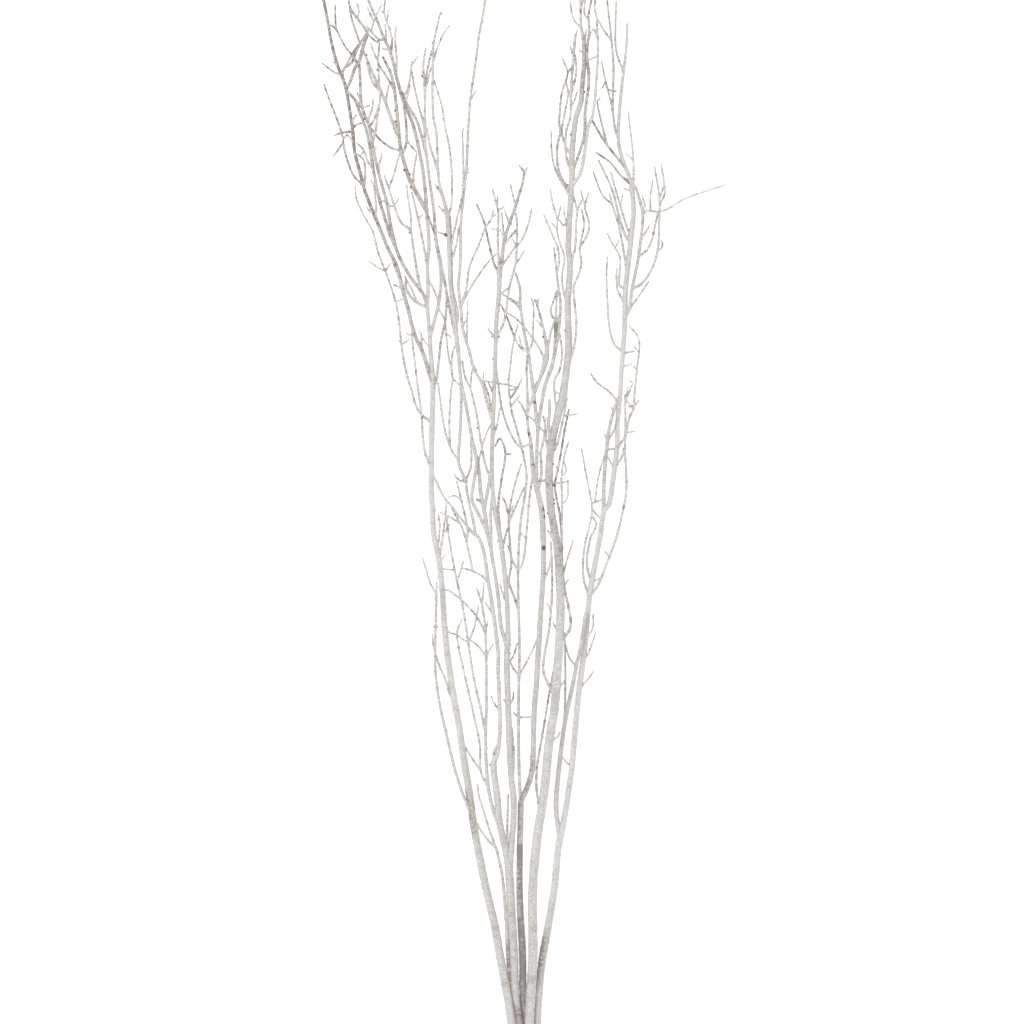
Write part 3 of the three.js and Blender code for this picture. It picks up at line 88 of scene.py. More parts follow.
# Each shoot has a line with its name, the shoot it grows from, its width at the root and at the
# tip and how far it climbs from root to tip, and then the points x,y that it passes through. A
# leader grows from NO_PARENT.
NO_PARENT = "-"
FAR_LEFT_STEM = """
A - 11 2.8 0
  -6.5,3 -6.8,25 -7.6,50 -10,80 -17,120 -23.5,160 -31,200 -38,240 -47.5,280 -55.8,320 -63,360
  -68.5,400 -75,440 -81,480 -88,520 -94,560 -98,600 -100.5,640 -105,680 -110.5,705 -112.5,740
  -113.8,760 -113.3,820 -112,888 -115.5,940 -118.5,985 -117.5,1000 -118.5,1030 -116.5,1055
  -118.5,1085 -121.5,1125 -126.5,1160 -136,1200 -148,1230 -155,1255 -163,1287 -171,1304 -179.5,1326
  -189,1348 -194,1364
A1 A 3.5 3 20
  -64,366 -74,391 -84,420 -92,452 -98.5,480 -104,506 -108.5,540 -109,575 -107.5,636
A1a A1 2 1.6 2
  -107.5,636 -107,648
A1b A1 2 1.6 6
  -107.5,636 -114.5,648 -119.5,664 -124,678
A2 A 2.2 1.6 10
  -86,508 -92,516 -95.5,530 -105,553 -111.5,575 -112.5,587
A3 A 1.8 1.4 4
  -97.3,592 -94,591 -84,587
A4 A 1.8 1.4 3
  -104.5,676 -100,679 -97.5,682
A5 A 2.6 1.6 8
  -105.3,681 -102,692 -99.3,711 -96.7,730 -95.5,749
A5a A5 2 1.6 3
  -99.5,711 -97,710.5 -94.5,716 -92,719
A6 A 2 1.4 6
  -107.5,690 -104.5,703 -103.5,722 -105.5,731
V A 2.8 2 20
  -113.5,790 -120,801 -123.5,820 -125.5,850 -131,893 -134.7,925 -137.5,950
Va V 1.6 1.3 1
  -137,946 -142,948
P A 2.8 1.8 30
  -112.8,842 -122,848 -130,857 -137.5,880 -144.5,905 -149.5,934 -152.5,963 -157,988 -166,1016
  -177.5,1046 -183.5,1070 -195,1091 -203.7,1111 -205,1125
Pa P 1.6 1.3 2
  -149.3,935 -152,940.5
Pb P 1.6 1.3 3
  -149.3,935 -145,938 -141,941
Pc P 1.8 1.4 3
  -156.5,986.5 -153,988 -148.5,989.5
Pd P 1.8 1.4 4
  -169.5,1024 -178,1028 -187,1034.5
Pe P 1.6 1.3 2
  -169.5,1024 -163,1032
Q A 4.6 3.2 22
  -112,888 -117,903 -124,926 -133.5,947 -142,979 -148.5,1003 -155.5,1030 -166,1051 -173.5,1070
  -183,1093 -193.5,1120 -199.5,1143 -205.5,1166 -208,1192 -211.5,1216 -217.5,1248 -226,1270
  -233.5,1298 -238.5,1327 -245,1358
Qa Q 2 1.5 4
  -126.5,931 -125.5,947 -127,950
Qb Qa 1.6 1.3 1
  -125.5,946 -121,938 -118,935
Qc Q 2 1.5 3
  -148.3,1002 -151,1004 -159.5,1007.5
Qd Q 2.4 1.8 14
  -196,1126 -207,1138 -214,1155 -218.5,1172 -221,1188 -229,1211 -236,1229 -242,1246
Qe Qd 1.8 1.4 3
  -219.5,1181 -215,1187 -213.5,1191
Qf Qd 1.8 1.4 4
  -219.5,1179 -226,1168 -230.5,1162.5
Qg Q 2 1.5 5
  -194.5,1124 -193,1138 -194.5,1156 -201,1163
Qh Q 2 1.5 6
  -181,1088 -180,1103 -183,1126 -185,1131
Qi Q 2 1.6 2
  -183.5,1095 -188,1096 -191,1100
Qj Q 2 1.5 4
  -208,1192 -221,1189.5 -229,1186.5
Qk Q 2 1.5 3
  -208.3,1196 -202,1200 -198,1201
Ql Q 1.6 1.3 2
  -206.8,1178 -214,1187
Qm Q 2 1.5 3
  -209,1201 -205.5,1208 -203,1212
R Q 3 4.5 8
  -215.5,1240 -210.5,1252 -205,1268 -200,1276 -196.5,1289 -190,1310
Ra Q 3 2.6 11
  -215,1242 -206,1230 -197,1219
Rb Q 2.2 1.6 6
  -222,1259 -230,1262 -243.5,1272
Rc Q 2 1.4 3
  -226,1270 -232,1275
Rd R 2.2 1.6 6
  -202.3,1273 -209,1283 -217,1293 -224,1306 -229,1315 -237,1320
Re Rd 2 1.5 3
  -228.5,1314 -228.5,1320 -229,1341
Rf Q 2.5 2.5 8
  -221,1256 -219.5,1264 -213,1276 -207,1286 -196,1302 -191,1309
Rg Rf 3 2.6 4
  -217,1268 -209,1274 -205,1284 -199,1296
Rh R 3 2 6
  -190,1309 -198,1321 -205,1330 -211,1340 -214.5,1360
Ri Rg 2.3 1.8 4
  -199,1296 -204,1310 -209,1326 -212,1340
Rj Rh 1.8 1.4 3
  -202,1326 -200.5,1335 -203,1346
S A 3.5 2.4 10
  -118.5,980 -128,984 -137,991 -144,1002 -151,1012 -160.5,1037
Sa S 2 1.6 4
  -131,986 -137,1001 -145,1016
Sb S 1.8 1.5 2
  -143.5,1001 -144.5,1016
L A 4 3 30
  -118.5,980 -123.5,996 -132,1007 -144,1025 -154,1045 -159,1063 -163.5,1084 -167,1106 -173,1127
  -178.5,1148 -183.5,1172 -188.5,1198 -194.5,1213 -198,1226 -199.2,1256 -200.5,1274
La L 1.8 1.6 3
  -167.5,1108 -175,1108
Lb L 1.8 1.4 2
  -166.3,1102 -160,1101
Lc L 2.5 2 4
  -188,1196 -183,1204 -177,1222
Ld L 2.4 1.8 12
  -184.5,1178 -180.5,1192 -178.5,1208 -175.5,1228 -177,1260 -177,1283 -176,1296
Le Ld 2 1.6 3
  -176.9,1273 -183,1287 -187,1297
Lf L 1.6 1.3 2
  -196.3,1219 -189,1222
Lg L 2 1.5 3
  -197.5,1224 -202,1236
Lh L 2 1.5 5
  -190.5,1203 -184.5,1219 -183.5,1229
Li L 1.8 1.4 2
  -182.7,1168 -179,1173
Lj L 1.8 1.4 4
  -178,1146 -173.5,1161 -173,1166
M L 4 3 12
  -156,1051 -163.5,1068 -171,1092 -177.5,1115 -182,1138 -186,1163 -191,1190 -196,1205 -205,1228
Ma M 2.2 1.6 5
  -183,1145 -190,1155 -195,1169 -202,1176
Mb Ma 1.5 1.3 2
  -195,1168 -198,1163
N L 3.4 2 38
  -126.5,1001 -131.5,1027 -135.5,1053 -139,1072 -150,1082 -158.5,1103 -164.5,1122 -169.5,1137
Na N 2.4 1.6 6
  -164.5,1122 -158,1142 -151,1167
Nb N 1.6 1.4 2
  -158,1102 -153.5,1109.5
Nc N 2.2 1.6 6
  -138.8,1071 -138,1086 -141.7,1112 -143.2,1128
T A 5 3 18
  -119.2,1094 -129,1113 -139,1131 -144,1146 -150,1168 -153,1192 -156.5,1230 -161,1257 -171,1279
Ta T 4.5 2.6 14
  -152.5,1187 -161,1204 -169,1227 -181.5,1255 -194.5,1286
Tb Ta 2.4 2 5
  -174,1238 -184,1250 -191,1272
Tc Ta 2.2 1.6 4
  -168.8,1226 -166,1240 -164.5,1247
Td T 2.6 2 5
  -157.8,1240 -168,1258 -176,1270
Te T 3 2.4 8
  -149.5,1165 -144,1175 -143.8,1200 -147,1225
Tf Te 2 1.5 3
  -144,1181 -139,1175 -132,1167
Tg T 2.3 1.8 6
  -150,1168 -161,1171 -175,1181 -186,1195
Th T 2 1.5 3
  -152,1182 -157,1190 -159.5,1198
Ti T 2.4 1.8 5
  -134.5,1123 -135,1141 -131.3,1163
B1 A 3 2.4 3
  -162.8,1285 -161,1297 -160.5,1302
B2 A 2 1.5 3
  -168.5,1298 -168,1307 -169,1318
B3 A 2.3 1.6 6
  -157,1261 -155,1277 -157,1300 -156,1316
B4 A 2 1.6 4
  -169,1300 -177,1302 -185,1310 -191,1317
B5 B4 2.2 1.7 5
  -175,1301.5 -179,1298.5 -187,1305
B6 B4 2 1.5 4
  -186,1311 -182,1325 -174,1342
B7 B6 2.5 1.8 3
  -182.5,1323 -186,1330 -190.5,1340
B8 B1 2 1.6 4
  -160.6,1300 -163,1312 -170,1333 -167.5,1360
B9 B8 1.6 1.3 1
  -166,1322 -165.5,1338
C1 A 2.4 1.8 4
  -150,1237 -145,1236 -140,1250 -137,1274
C2 C1 1.8 1.4 2
  -137,1271 -130,1281
D1 A 4 2.6 26
  -115.8,942 -112,957 -106,980 -102.3,1006 -102.7,1026 -108,1058 -111,1097 -115,1126 -119,1160
  -121.2,1178 -121.5,1238 -123.3,1270 -120.5,1290
D2 D1 2 1.5 5
  -105,985 -112,1004 -117.5,1014
D3 D1 1.8 1.4 3
  -106,980 -101,972 -98,965
D4 D1 2.4 1.8 4
  -108.7,1066 -113,1078 -118,1091
D5 D1 2.3 1.8 7
  -121.2,1196 -129,1223 -134,1245 -137.2,1264
D6 D1 3.5 2.8 -10
  -119.5,1163 -126,1188 -132,1206 -144,1226 -153,1247
D7 D6 2 1.6 3
  -144,1226 -141,1238 -139.5,1246
D8 D1 2.6 2 5
  -121.7,1243 -119,1262 -113.5,1287
D9 D1 2.2 1.6 3
  -121.5,1238 -117,1256 -113.5,1269
E1 A 3 2.2 16
  -112.1,880 -107,898 -105,914 -102,941 -97,964 -95.3,995 -98,1014 -106,1051
E2 A 3 2.2 22
  -118.4,1027 -121.5,1046 -128,1080 -136.7,1117
E3 E2 1.8 1.4 3
  -129.5,1087 -123,1092
"""

LEFT_STEM = """
B - 9.6 2.4 0
  -6,0 -6.2,25 -6.7,50 -7.2,80 -8,120 -13.5,160 -14,180 -15.5,220 -19,280 -21,310 -27,340 -32.5,366
  -34.5,392 -39,432 -34,446 -31.5,470 -31.5,495 -33.5,545 -33.5,565 -39.5,615 -46,655 -50.5,686
  -57,704 -64,709.5 -73,720 -88,740 -99,753 -110,776
F B 4.8 3 16
  -11.5,136 -17.5,165 -21.5,200 -24,245 -29,300 -36,331
Fa F 2.6 1.8 5
  -36,331 -46,341 -57,357 -57,361
Fb F 2.6 1.8 7
  -36,331 -43,350 -53,382 -57,396 -58,407
Ba B 2.5 1.8 8
  -22.5,316 -22.5,345 -22,375 -21.3,394
Bb B 2 1.5 3
  -31.5,494 -40,508 -41,512
Bc B 2.6 2.2 0
  -38.8,431 -43,431
Bd B 2.6 2 2
  -36.5,439 -38.5,446 -35,454
Be B 2 1.5 3
  -39.3,611 -48.3,625
H B 4.5 2.2 22
  -30,354 -39,375 -45,402 -48.5,450 -47.5,510 -48.7,590 -52.5,621 -59,643
Ha H 2.8 2 -14
  -45.1,403 -54,422 -55.5,455 -64,496 -74.5,543 -83,588 -77.3,605
Hb Ha 2.2 1.6 4
  -54,424 -66,441 -74,454
Hc H 2.8 2.2 8
  -48.3,466 -54,496 -62.3,533 -68.5,572 -76,620 -84.3,658 -91.7,699 -94.5,720 -94.2,729
Hd Hc 2 1.5 4
  -69.3,577 -62,596 -57,621
He Hc 1.8 1.4 3
  -69.3,577 -84,587.5
Hf Hc 2 1.5 3
  -82.5,652 -79,662 -75.6,674
Hg Hc 1.8 1.4 2
  -85.5,664 -98,666
Hh H 2.4 1.7 -8
  -48.8,590 -59,608.5 -75,626.5 -93,640.5 -97,640.5
Hi H 2 1.5 4
  -48.3,562 -57,573 -67,581
Hj H 2 1.5 3
  -48.3,562 -40,575.5
Hk H 2 1.5 2
  -48.7,590 -46,602
Hl H 1.8 1.4 2
  -52.7,622 -50.5,648
I B 2.6 1.8 12
  -45,650 -54,658.5 -69,665.2 -75.5,667
Ia I 2.6 2 6
  -64,663 -69.5,689 -76.5,715 -88.5,737
Ib Ia 2.4 1.8 6
  -71.8,697 -70,712 -77.3,747 -83.5,772
Ic Ia 1.8 1.4 4
  -79.5,721 -90,727.5 -101.5,733.5
Id Ib 1.8 1.4 3
  -77.5,748 -86,754 -94,751.5
K B 3.4 2.2 8
  -60.5,707 -64,727 -68,743 -71.7,771 -66,790 -66.3,822
Ka K 2.2 1.6 3
  -71.7,771 -80,772.5 -86,779
Kb K 4 3.4 20
  -71.5,769 -80.5,792 -80.7,808 -79.2,830 -78,855 -78.3,892
Kc Kb 2.6 2 6
  -80.6,796 -91,812 -98.5,838 -105.5,888
Kd Kc 2.4 1.7 8
  -90.5,811 -92,840 -90.5,876 -88.3,896 -92.8,920 -97,960
Ke Kd 2.2 1.6 3
  -89.8,904 -88.7,922 -85.5,934
Kf Kd 1.8 1.4 2
  -88.5,894 -79,886
Kg Kd 1.8 1.4 2
  -95.6,950 -90,944
G B 7 2 0
  -20.4,302 -17,340 -14.5,380 -18,420 -20,460 -23,560 -21.5,585 -23.7,640 -30.5,700 -38,741
  -41,785 -39.7,840 -36.8,920 -35.8,960 -32.8,993 -32,1025 -34,1060 -33.2,1094 -36.5,1107 -40,1121
Ga G 2.2 1.6 6
  -17.3,410 -14.5,433 -15.5,460 -19,488
Gb G 2 1.6 1
  -21.5,505 -28,510
Gc G 2 1.5 3
  -21.5,503 -16,509 -15,517
Gd G 2 1.5 4
  -22.9,552 -15.5,561 -10.5,577
Ge G 2 1.5 4
  -23,624 -28,637 -31,647
Gf G 2.4 1.7 4
  -29.2,688 -25,704 -22,716
Gg G 3 2.2 10
  -29.2,688 -31.5,716 -33.3,742 -30,770 -25.5,797 -25.5,810 -31.5,823 -36.5,814
Gh Gg 2 1.6 2
  -25.3,804 -19,804
Gi G 2 1.5 5
  -39.9,826 -36,834 -31,860
Gj G 2 1.5 3
  -38,876 -45,889
Gk G 2.2 1.6 3
  -36.2,943 -45,953.5
Gl G 2 1.5 4
  -32.8,994 -21.5,1003
Gm G 1.8 1.4 3
  -34.3,1099 -34,1113
Gn G 2.6 2 8
  -32.2,1018 -38.5,1033 -45,1059 -50.5,1083 -58.7,1102.5
Go Gn 2 1.5 3
  -49,1077 -43,1084 -38.7,1096.5
W G 4.5 2.6 12
  -32.2,1013 -28.6,1040 -26,1060 -19.8,1081 -10.7,1107 -2.3,1141 -8,1150
Wa W 2 1.6 1
  -2.6,1139 1.5,1147.5
Wb W 2.4 1.7 5
  -26.5,1056 -16,1068 -10.7,1076 -13,1097
Wc W 1.8 1.4 4
  -26,1060 -28,1081 -29.3,1094
Wd W 2.2 1.5 3
  -20,1080 -25.5,1095
We W 2.2 1.6 4
  -12.8,1101 -19,1128
Wf W 2.2 1.6 5
  -29.5,1030 -21,1041 -11.5,1055
J G 2.8 2.4 10
  -36.2,942 -27,961 -24.3,974 -20,1004 -12.8,1032 -11,1058 -10.7,1076
Ja J 2 1.5 2
  -11.3,1053 -16,1061.5
Jb J 2.2 1.6 5
  -11.3,1053 -4,1063 3,1081 7,1100
Jc J 2 1.5 3
  -12.8,1031 -2.5,1047
X G 3.6 2.6 0
  -39.7,841 -46.8,866 -53,889 -63,907 -67.5,925 -76,955 -77.8,975 -81,1005 -79,1032 -77.9,1082
  -74.3,1119 -71.5,1146 -70,1180 -67,1229 -61,1270 -56,1309 -50,1342 -49,1366
Xa G 2.2 1.6 4
  -39.5,846 -44.8,874 -51,893 -51,900
Xb X 2.2 1.6 6
  -75,1112 -75.3,1152 -76.3,1189 -75.5,1194
Xc X 2 1.5 5
  -71,937 -70.8,952 -70,986
Xd X 2.4 1.7 9
  -78.5,982 -72,1001 -68,1028 -56,1056.5 -48.7,1076.5
Xe X 2 1.5 6
  -78.3,980 -68,1001 -51,1027 -43,1037
Xf X 2 1.5 2
  -67,1229 -60.5,1239
Z G 4.5 2.2 0
  -22.7,570 -30,598 -33,630 -39,670 -47,710 -57,731.5 -65,749.5 -63.5,765 -59.7,795 -65,823
  -72,862 -78,892 -81,922 -85.3,962 -90.7,1010 -92.5,1055 -95.5,1095 -104,1128 -106,1156
  -107.5,1189 -111,1207 -112.3,1240 -111.8,1260 -111,1296 -108,1311 -103,1333
Za Z 3.6 3 7
  -84.5,952 -82.3,973 -88.5,1003 -89.7,1045 -91.3,1088
Zb Z 3 2.2 -10
  -82.7,936 -89,964 -97,1007 -102.5,1036 -107.5,1062 -110.5,1098 -115,1130
Zc Z 2.4 1.6 3
  -93,1066 -104,1070
Zd Z 2.4 1.8 3
  -95,1091 -104,1100.5
Ze Z 2 1.5 3
  -101,1113 -108.5,1127
Zf Z 3 2 -6
  -105,1141 -110,1157 -115,1173 -119,1194 -120.5,1201
Zg Z 2.2 1.6 5
  -91.5,1030 -84.5,1052 -80.2,1078
Zh Z 2.6 1.8 8
  -92,1042 -86.7,1069 -79,1103 -76,1118
Zi Z 2.5 1.8 10
  -94.5,1086 -89.3,1105 -89,1132 -91,1166 -97.3,1198 -101.2,1222 -110.5,1253
Zj Z 2 1.5 3
  -111.6,1272 -107.5,1288 -100,1306 -91.5,1319
Zk Z 3 3 6
  -40.8,682 -42,715 -42.5,730 -41,752
Y Z 5 4 4
  -46.5,708 -48.8,728 -54,755 -57,787 -65,823
Ya Y 4 3.4 6
  -50,736 -46.5,757 -41.5,786
Yb Y 2 1.5 2
  -52,744 -58,749.5
Yc Y 1.8 1.5 2
  -57.5,791 -54,808
Yd Ya 2.6 2 10
  -43.5,775 -49.2,793 -54.5,820 -59.3,852 -67,883 -73,896 -76.5,916
Ye Yd 2 1.5 2
  -67,883 -65.3,900 -64.3,906
Yf Yd 1.8 1.4 3
  -52.8,812 -46,832 -41,842
"""

MIDDLE_STEM = """
C - 8.8 2.2 0
  3.7,5 3.5,25 3.1,50 2.4,80 1.5,120 -3.5,160 -4,200 -7.7,280 -6.3,380 -5.8,388 2,405 7.5,425 8.5,440
  9.5,490 12.5,530 16.7,600 20.8,670 19.5,730 16.5,748 8.8,781 5.3,820 1.8,840 1.7,872 0.7,908
  2.3,927
Ca C 2 1.5 4
  19.8,650 26.5,664 29.5,677
Cb C 3.6 2.6 7
  13,762 18,776 18,796 16.8,806
Cc Cb 2.4 1.8 4
  17,803 22,829 17,835.5
Cd C 2 1.5 2
  1.8,848 -5,862 -10.5,870
Ce C 3.2 2.4 10
  1.8,854 8,872 14.7,889 22.5,912 25,925 22.6,946 17,970 12,987
Cf Ce 2.6 1.8 8
  22,914 17,929 4,948.5 -12,966.5 -24,974
Cg Ce 2 1.5 2
  20.8,956 13.7,963.5
Ch Ce 3 2.2 4
  25,926 29.3,948 33,961
O C 3.4 5 11
  12.3,764 13,806 14.6,835 18.3,862 24,890 31,908.5 35,931 36,960 35.7,967
Oz O 3.4 2.8 8
  16.8,874.8 26.4,898.8 33.8,920.4 38,940.8 40.2,958.8 41,969
Oa O 2.2 1.8 4
  35.8,961 29.5,975 34,991 37.5,1001
Ob O 2 1.8 6
  35.7,966 36.5,985 37.5,1001
Oc O 3.6 2.2 10
  36,961 40.5,968 41.3,986 38,1011 33.7,1050
Od Oc 2.4 1.7 6
  37.2,1021 39.7,1032 38.5,1050 31.5,1067 22,1089.5
U O 4.5 2.8 13
  14.5,832 10.7,863 7.5,890 3,923 -3,955 -7,986 -7.2,1002 -12,1020
Ua U 3 2.2 3
  -5.7,977 -13,985 -26,994.5
Ub U 1.8 1.4 3
  2.2,927 -5,933 -8.5,946
Uc U 2 1.5 4
  2.2,927 7,936 8.4,952 9,980 6.5,991
Ud U 2.2 1.8 1
  13,842 4.5,848.5
V C 3.6 1.8 0
  -6.2,382 -8.3,420 -9,500 -8,575 -9.6,660 -6.7,720 0.7,773 -3,802 -9.3,827 -17.3,856 -20.9,888
  -19.2,906 -15.8,934 -10,958.5
Va V 1.8 1.5 1
  -8.9,487 -13,492
Vb V 1.8 1.5 -2
  -8.9,489 6,488.5
Vc V 1.8 1.4 3
  -8.5,538 -15.5,547 -18,553
Vd V 2 1.5 4
  -8.5,539 0,553 8,569 12.5,581
Ve V 2.8 2 6
  -8.7,615 -13,629 -20.5,651 -17.8,671 -20.8,726 -17,752 -11,776 -6,791
Vf Ve 2.2 1.6 3
  -20.7,727 -25,746 -29,753
Vg Ve 2.4 1.8 3
  -20.5,721 -15,735 -7.7,752 -2.5,763
Vh V 1.8 1.4 3
  -9.6,664 -15,674 -22,694
Vi V 2.5 2.2 4
  -9.5,663 -4,673 0,702 4,750 7.3,775
Vj V 2.6 1.8 6
  -5.2,810 -14,820 -23.7,841 -30,864 -35.5,906
Vk V 2 1.6 1
  -5.2,811 5,816
Vl V 2 1.5 3
  -18.3,860 -12,869 -8.5,873
Vm V 2.2 1.6 4
  -19,870 -10,884 -5.3,894
Vn V 1.6 1.3 5
  -20.9,886 -35,889 -50,892
Vo V 2.6 1.7 4
  -13.5,943 -22,966 -29.5,982
Vp V 1.5 1.3 3
  -13.7,943 -7,932 -3,927
"""

RIGHT_STEM = """
D - 11 2.4 0
  4.9,2 4.5,25 3.6,50 3.4,80 4,120 6,160 8.3,200 8,280 13,340 22,400 28,460 34.3,500 41,600 41,640
  37.5,693 29.7,740 27.6,780 31,818 38,849 45.2,880 51,932 50,985 53,1030 50.7,1052 53,1100
  55.3,1140 54.8,1159 59.5,1205 66,1227 67.3,1246 70,1277 69,1298 65.7,1322 66.3,1341 69.5,1354
Da D 2.4 1.8 8
  17.8,372 13,397 13,427 21,475 29,523 33.3,546
Db D 3.2 2.6 6
  35.3,514 27,527 21,542 21,556 28.5,600 31.4,650 29.8,697
Dc Db 1.6 1.4 2
  30,615 25.5,624.5
Dd D 3 2 6
  39.7,579 50,589 53.7,600 51.7,617 46.7,641 43.6,668 43,701 40.7,730 34.6,766 38.5,786
  42.3,808 46.3,832 51.6,858
De Dd 1.6 1.4 1
  45.9,647 51,653.5
Df Dd 2 1.4 3
  44.6,659 49.3,677 56,698.5
Dg Dd 2.4 1.5 8
  43.1,695 43.4,727 43,758 42.6,776 45.6,800 51,818.5
Dh Dg 1.5 1.3 1
  42.8,777 48,783 46,795
Di D 2 1.4 3
  28.5,770 43,769.5 50,772
Dj D 4 3.2 4
  36.5,699 29.5,708 26,712.5
Dk D 2.2 1.7 1
  27.8,773 15,771.5
Dl D 2 1.5 2
  28,458 38,465 41,471
Dm D 2 1.6 2
  35.7,520 42,526 45.5,531
Dn D 1.8 1.4 2
  40,584 33,600.5
Do D 2.8 2 5
  29.3,802 24.4,819 22.5,842 20.3,850
Dp D 3.6 3.4 4
  30.7,814 26.8,838 28.2,854 28,869.5
Dq D 2.6 2.2 5
  30.3,807 36.3,813 43.2,840 47.6,862 49.2,885
Dr Dq 1.6 1.5 2
  45,850 62,852
Ds D 2.6 2 8
  37.8,848 34.5,873 34.2,893 40,904 43,926 40,951
Dt D 2.8 2 16
  49.3,914 56,925 60.5,958 58,989 57.4,1005 64,1022 66.5,1034 64.4,1050 69.7,1080 67,1096.5
Du Dt 2.3 1.7 8
  64.7,1051 73,1066 76,1079 71,1100 75,1118
Dv Du 1.8 1.4 2
  71,1100 66,1118.5
Dw D 3 2 8
  52.6,1032 58.7,1050 60.5,1084 62.5,1098 67,1108
Dx Dw 2 1.8 -6
  61.7,1095 57,1113 54,1117
G D 2.6 1.6 10
  50.2,983 44.3,1002 43.4,1020 46,1040 41,1056 37.1,1075 41.5,1101
Ga G 1.8 1.5 1
  37.3,1074 31.5,1080.5
Gb G 2.2 1.6 4
  39,1085 32,1105 29,1122.5
Gc D 2.4 2 4
  51.8,1076 47.5,1080 45,1078 40.3,1085
Gd Gc 1.6 1.3 2
  48.5,1079.5 45.5,1095 46,1099
H D 3.4 1.8 18
  54.2,1121 44,1132 38,1150 37.5,1173 41,1190 39.8,1202 43,1238 50,1261 44.5,1277
Ha D 2.4 1.6 8
  53.5,1110 47.5,1122 38,1138 31.7,1159 30,1190.5
Hb H 1.6 1.8 1
  49.5,1260 55.5,1270
I D 2.4 1.8 6
  55,1162 48.5,1171 43.2,1191 48,1221 50.6,1237 48.5,1249
J D 2.6 3 14
  55.1,1138 48.4,1160 48,1190 53,1208 54,1240 56.5,1276 59,1306
Ja J 2.4 2 3
  53.9,1233 60.3,1262 59.2,1281
Jb J 2 1.8 2
  57,1280 53.5,1291.5
Jc J 1.8 1.5 1
  58.4,1298 61,1310.5
Jd J 1.8 1.5 1
  53.4,1218 59.3,1231.5 61,1237
K D 4.4 2 16
  54.5,1125 65,1140 71,1170 75,1197 80.3,1212 84,1247 86.5,1288 84.5,1329 82.3,1340 85,1360
Ka K 1.8 1.5 2
  86.2,1301 80.8,1314 75.5,1300
Kb K 1.5 1.4 1
  86,1281.5 75.5,1277
L D 2.8 2.4 10
  55.3,1142 61,1157 70,1187 71,1215 75.5,1252 73.2,1286 76,1315 75,1331 81.5,1360
La L 2 1.6 3
  75.4,1324 70,1333 71,1351
M D 2 1.6 3
  69.7,1288 72,1313.5
N D 2 1.6 5
  66.6,1315 57,1326 53,1344.5
O D 2 1.6 3
  65.8,1326 64.8,1346 63.5,1356
"""

